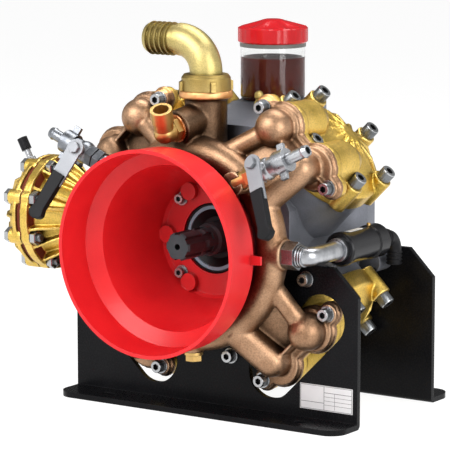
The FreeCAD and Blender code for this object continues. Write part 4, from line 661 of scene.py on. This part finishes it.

# Ball valves: nickel-plated brass, with a wing nut, a hose tail and a black moulded grip
# on a pressed lever.  The right nipple is left in brass; the left valve wears a darker copy of the same
# nickel, which is painted shade.
nickel_cast = finish("nickel_cast", (0.58, 0.59, 0.61), (0.34, 0.35, 0.37), metallic=1.0, roughness=0.30,
                     grain=260, relief=0.4, round_off=0.0008, cloud=90.0, painted_shade=0.007)
# Painted shade: the same nickel, made darker for the left valve.
nickel_painted_shade = finish("nickel_painted_shade", (0.33, 0.34, 0.36), (0.15, 0.16, 0.18), metallic=1.0, roughness=0.36,
                     grain=260, relief=0.35, round_off=0.0006, cloud=90.0, painted_shade=0.006)
lever_steel = finish("lever_steel", (0.34, 0.35, 0.37), (0.26, 0.27, 0.29), metallic=0.6, roughness=0.50,
                     grain=700, relief=0.15, round_off=0.0004, painted_shade=0.006)
dress(polished_brass, "right_valve_nipple")
dress(nickel_cast, "right_valve_body")
dress(nickel, "right_valve_nut", "right_valve_tail")
dress(nickel_painted_shade, "left_valve_nipple", "left_valve_body", "left_valve_nut", "left_valve_tail")
dress(lever_steel, "right_valve_lever", "left_valve_lever")
dress(black_mould, "right_valve_grip", "left_valve_grip")

# Safety valve: plated union nut with its collars, cast nickel elbow and a black body with
# a bare pale strip and a brass stud; its hose elbow is a ribbed black moulding.
RELIEF_ACROSS = 165.5
RELIEF_UP = -2
RELIEF_AHEAD = 134
COLLARS = ((151.2, 13.6, 2.6), (154.6, 12.9, 2.4), (158.0, 12.6, 2.0))
COLLAR_EDGE = 0.5
BACK_RIBS = (-30, -34.5, -39, -43.5)
BACK_RIB = ((0.0100, 0), (0.0108, 0.0005), (0.0108, 0.0019), (0.0100, 0.0024))
DOWN_RIBS = (20, 24.5, 29, 33.5)
DOWN_RIB = ((0.0096, 0), (0.0102, 0.0005), (0.0102, 0.0015), (0.0096, 0.0020))
DOWN_RIBS_AHEAD = -64
STRIP_LENGTH = 0.031
STRIP_TURN = math.radians(22)
STRIP_RADIUS = 0.01955
STRIP_THICK = 0.0004
STRIP_AHEAD = 33
STUD_TOP = ((0.0026, 0), (0.0026, 0.0042), (0.0018, 0.0052))
STUD_PLACE = (RELIEF_ACROSS, RELIEF_UP + 18.5, -2)
dress(nickel, "relief_nut")
dress(nickel_cast, "relief_elbow")
dress(finish("black_gloss", (0.010, 0.010, 0.012), (0.007, 0.007, 0.008), metallic=0.0, roughness=0.22,
             grain=500, relief=0.06, round_off=0.0010, shine=0.3), "relief_body")
dress(black_mould, "relief_tail")
collars = bmesh.new()
for across, radius, thick in COLLARS:
    ring = ((radius - COLLAR_EDGE, 0), (radius, COLLAR_EDGE), (radius, thick - COLLAR_EDGE),
            (radius - COLLAR_EDGE, thick))
    turned(collars, pump_point(across, RELIEF_UP, RELIEF_AHEAD), pump_way(1, 0, 0),
           [(wide / 1000, high / 1000) for wide, high in ring])
finished("relief_collars", collars, [nickel], "pump")
relief_ribs = bmesh.new()
for ahead in BACK_RIBS:
    turned(relief_ribs, pump_point(RELIEF_ACROSS, RELIEF_UP, ahead), pump_way(0, 0, -1), BACK_RIB)
for drop in DOWN_RIBS:
    spot = pump_point(RELIEF_ACROSS, RELIEF_UP - drop, DOWN_RIBS_AHEAD)
    turned(relief_ribs, spot, pump_way(0, -1, 0), DOWN_RIB)
finished("relief_ribs", relief_ribs, [black_mould], "pump")
strip = bmesh.new()
for vert in bmesh.ops.create_grid(strip, x_segments=1, y_segments=8, size=0.5)["verts"]:
    turn = vert.co.y * STRIP_TURN
    vert.co = Vector((STRIP_RADIUS * math.sin(turn), vert.co.x * STRIP_LENGTH,
                      STRIP_RADIUS * math.cos(turn)))
bmesh.ops.solidify(strip, geom=strip.faces[:], thickness=-STRIP_THICK)
bmesh.ops.translate(strip, verts=strip.verts, vec=pump_point(RELIEF_ACROSS, RELIEF_UP, STRIP_AHEAD))
finished("relief_strip", strip, [plate_white], "pump")
stud = bmesh.new()
turned(stud, pump_point(*STUD_PLACE), pump_way(0, 1, 0), STUD_TOP, segments=20)
finished("relief_stud", stud, [polished_brass], "pump")

# Floor: plain white, which keeps the object's shadow; seen directly or in metal and glass
# it is lifted to the white of the backdrop.
FLOOR_HALF = 8.0
FLOOR_GLOW = 0.90
FLOOR_LIT = (0.80, 0.80, 0.80)
FLOOR_SEEN = (0.25, 0.25, 0.25)


def seen_by_eye(tree):
    """One for rays from the camera, and for those that metal and glass pass on."""
    ray = tree.nodes.new("ShaderNodeLightPath")
    passed_on = reckoned(tree, "MAXIMUM", ray.outputs["Is Glossy Ray"], ray.outputs["Is Transmission Ray"])
    return reckoned(tree, "MAXIMUM", ray.outputs["Is Camera Ray"], passed_on)


floor_white, tree, shader = plain_material("floor_white")
shader.inputs["Specular IOR Level"].default_value = 0.0
shader.inputs["Emission Color"].default_value = (1, 1, 1, 1)
seen = seen_by_eye(tree)
tree.links.new(reckoned(tree, "MULTIPLY", seen, FLOOR_GLOW), shader.inputs["Emission Strength"])
tree.links.new(mixed(tree, seen, FLOOR_LIT, FLOOR_SEEN), shader.inputs["Base Color"])
ground = bmesh.new()
bmesh.ops.create_grid(ground, x_segments=1, y_segments=1, size=FLOOR_HALF)
mesh = bpy.data.meshes.new("floor")
ground.to_mesh(mesh)
ground.free()
mesh.materials.append(floor_white)
floor = bpy.data.objects.new("floor", mesh)
bpy.context.scene.collection.objects.link(floor)

# Studio: an even white surround that is darker behind the object where metal mirrors it,
# three soft lamps and the camera of the photograph.
LEVEL_LIGHT = 0.52
SKY = ((-1.0, 1.0), (0.25, 1.0), (0.55, 0.45), (1.0, 0.30))
FLAG_WAY = (-0.556, 0.831, 0.0)
FLAG_EDGES = (0.45, 0.85)
FLAG_LEVEL = 0.12
world = bpy.data.worlds.new("studio")
bpy.context.scene.world = world
world.use_nodes = True
tree = world.node_tree
backdrop = tree.nodes["Background"]
direction = tree.nodes.new("ShaderNodeTexCoord").outputs["Generated"]
height = tree.nodes.new("ShaderNodeSeparateXYZ")
tree.links.new(direction, height.inputs["Vector"])
sky = tree.nodes.new("ShaderNodeValToRGB")
for index, (rise, level) in enumerate(SKY):
    stop = sky.color_ramp.elements[index] if index < 2 else sky.color_ramp.elements.new((rise + 1) / 2)
    stop.position = (rise + 1) / 2
    stop.color = (level, level, level, 1)
tree.links.new(ranged(tree, height.outputs["Z"], -1.0, 1.0), sky.inputs["Fac"])
tree.links.new(sky.outputs["Color"], backdrop.inputs["Color"])
toward_flag = tree.nodes.new("ShaderNodeVectorMath")
toward_flag.operation = "DOT_PRODUCT"
toward_flag.inputs[1].default_value = FLAG_WAY
tree.links.new(direction, toward_flag.inputs[0])
flag = ranged(tree, toward_flag.outputs["Value"], *FLAG_EDGES, start=1.0, end=FLAG_LEVEL, smooth=True)
ray = tree.nodes.new("ShaderNodeLightPath")
flag = reckoned(tree, "MAXIMUM", flag, reckoned(tree, "SUBTRACT", 1.0, ray.outputs["Is Glossy Ray"]))
strength = ranged(tree, seen_by_eye(tree), 0.0, 1.0, start=LEVEL_LIGHT)
tree.links.new(reckoned(tree, "MULTIPLY", strength, flag), backdrop.inputs["Strength"])

LAMPS_AIM = Vector((0, 0, 0.2))


def softbox(name, spot, width, height, power):
    """A soft lamp that looks at the object."""
    lamp = bpy.data.lights.new(name, "AREA")
    lamp.shape = "RECTANGLE"
    lamp.size = width
    lamp.size_y = height
    lamp.energy = power
    thing = bpy.data.objects.new(name, lamp)
    thing.location = spot
    thing.rotation_euler = (LAMPS_AIM - Vector(spot)).to_track_quat("-Z", "Y").to_euler()
    bpy.context.scene.collection.objects.link(thing)


softbox("key", (-0.5, -2.1, 1.7), width=2.0, height=1.4, power=60)
softbox("side", (2.3, -0.9, 0.9), width=1.0, height=1.8, power=33)
softbox("top", (0.1, 0.6, 2.2), width=1.8, height=1.0, power=36)

AZIMUTH = math.radians(33.8)
ELEVATION = math.radians(9.06)
DISTANCE = 3.51
AIM = Vector((-0.0308, -0.0198, 0.2184))
SENSOR_WIDTH = 36.0
FOCAL_LENGTH = 224.2
FARTHEST = 50.0
back = Vector((math.sin(AZIMUTH) * math.cos(ELEVATION), -math.cos(AZIMUTH) * math.cos(ELEVATION),
               math.sin(ELEVATION)))
lens = bpy.data.cameras.new("camera")
lens.sensor_width = SENSOR_WIDTH
lens.lens = FOCAL_LENGTH
lens.clip_end = FARTHEST
camera = bpy.data.objects.new("camera", lens)
camera.location = AIM + back * DISTANCE
camera.rotation_euler = (-back).to_track_quat("-Z", "Y").to_euler()
bpy.context.scene.collection.objects.link(camera)
bpy.context.scene.camera = camera
bpy.context.scene.view_settings.view_transform = "Standard"
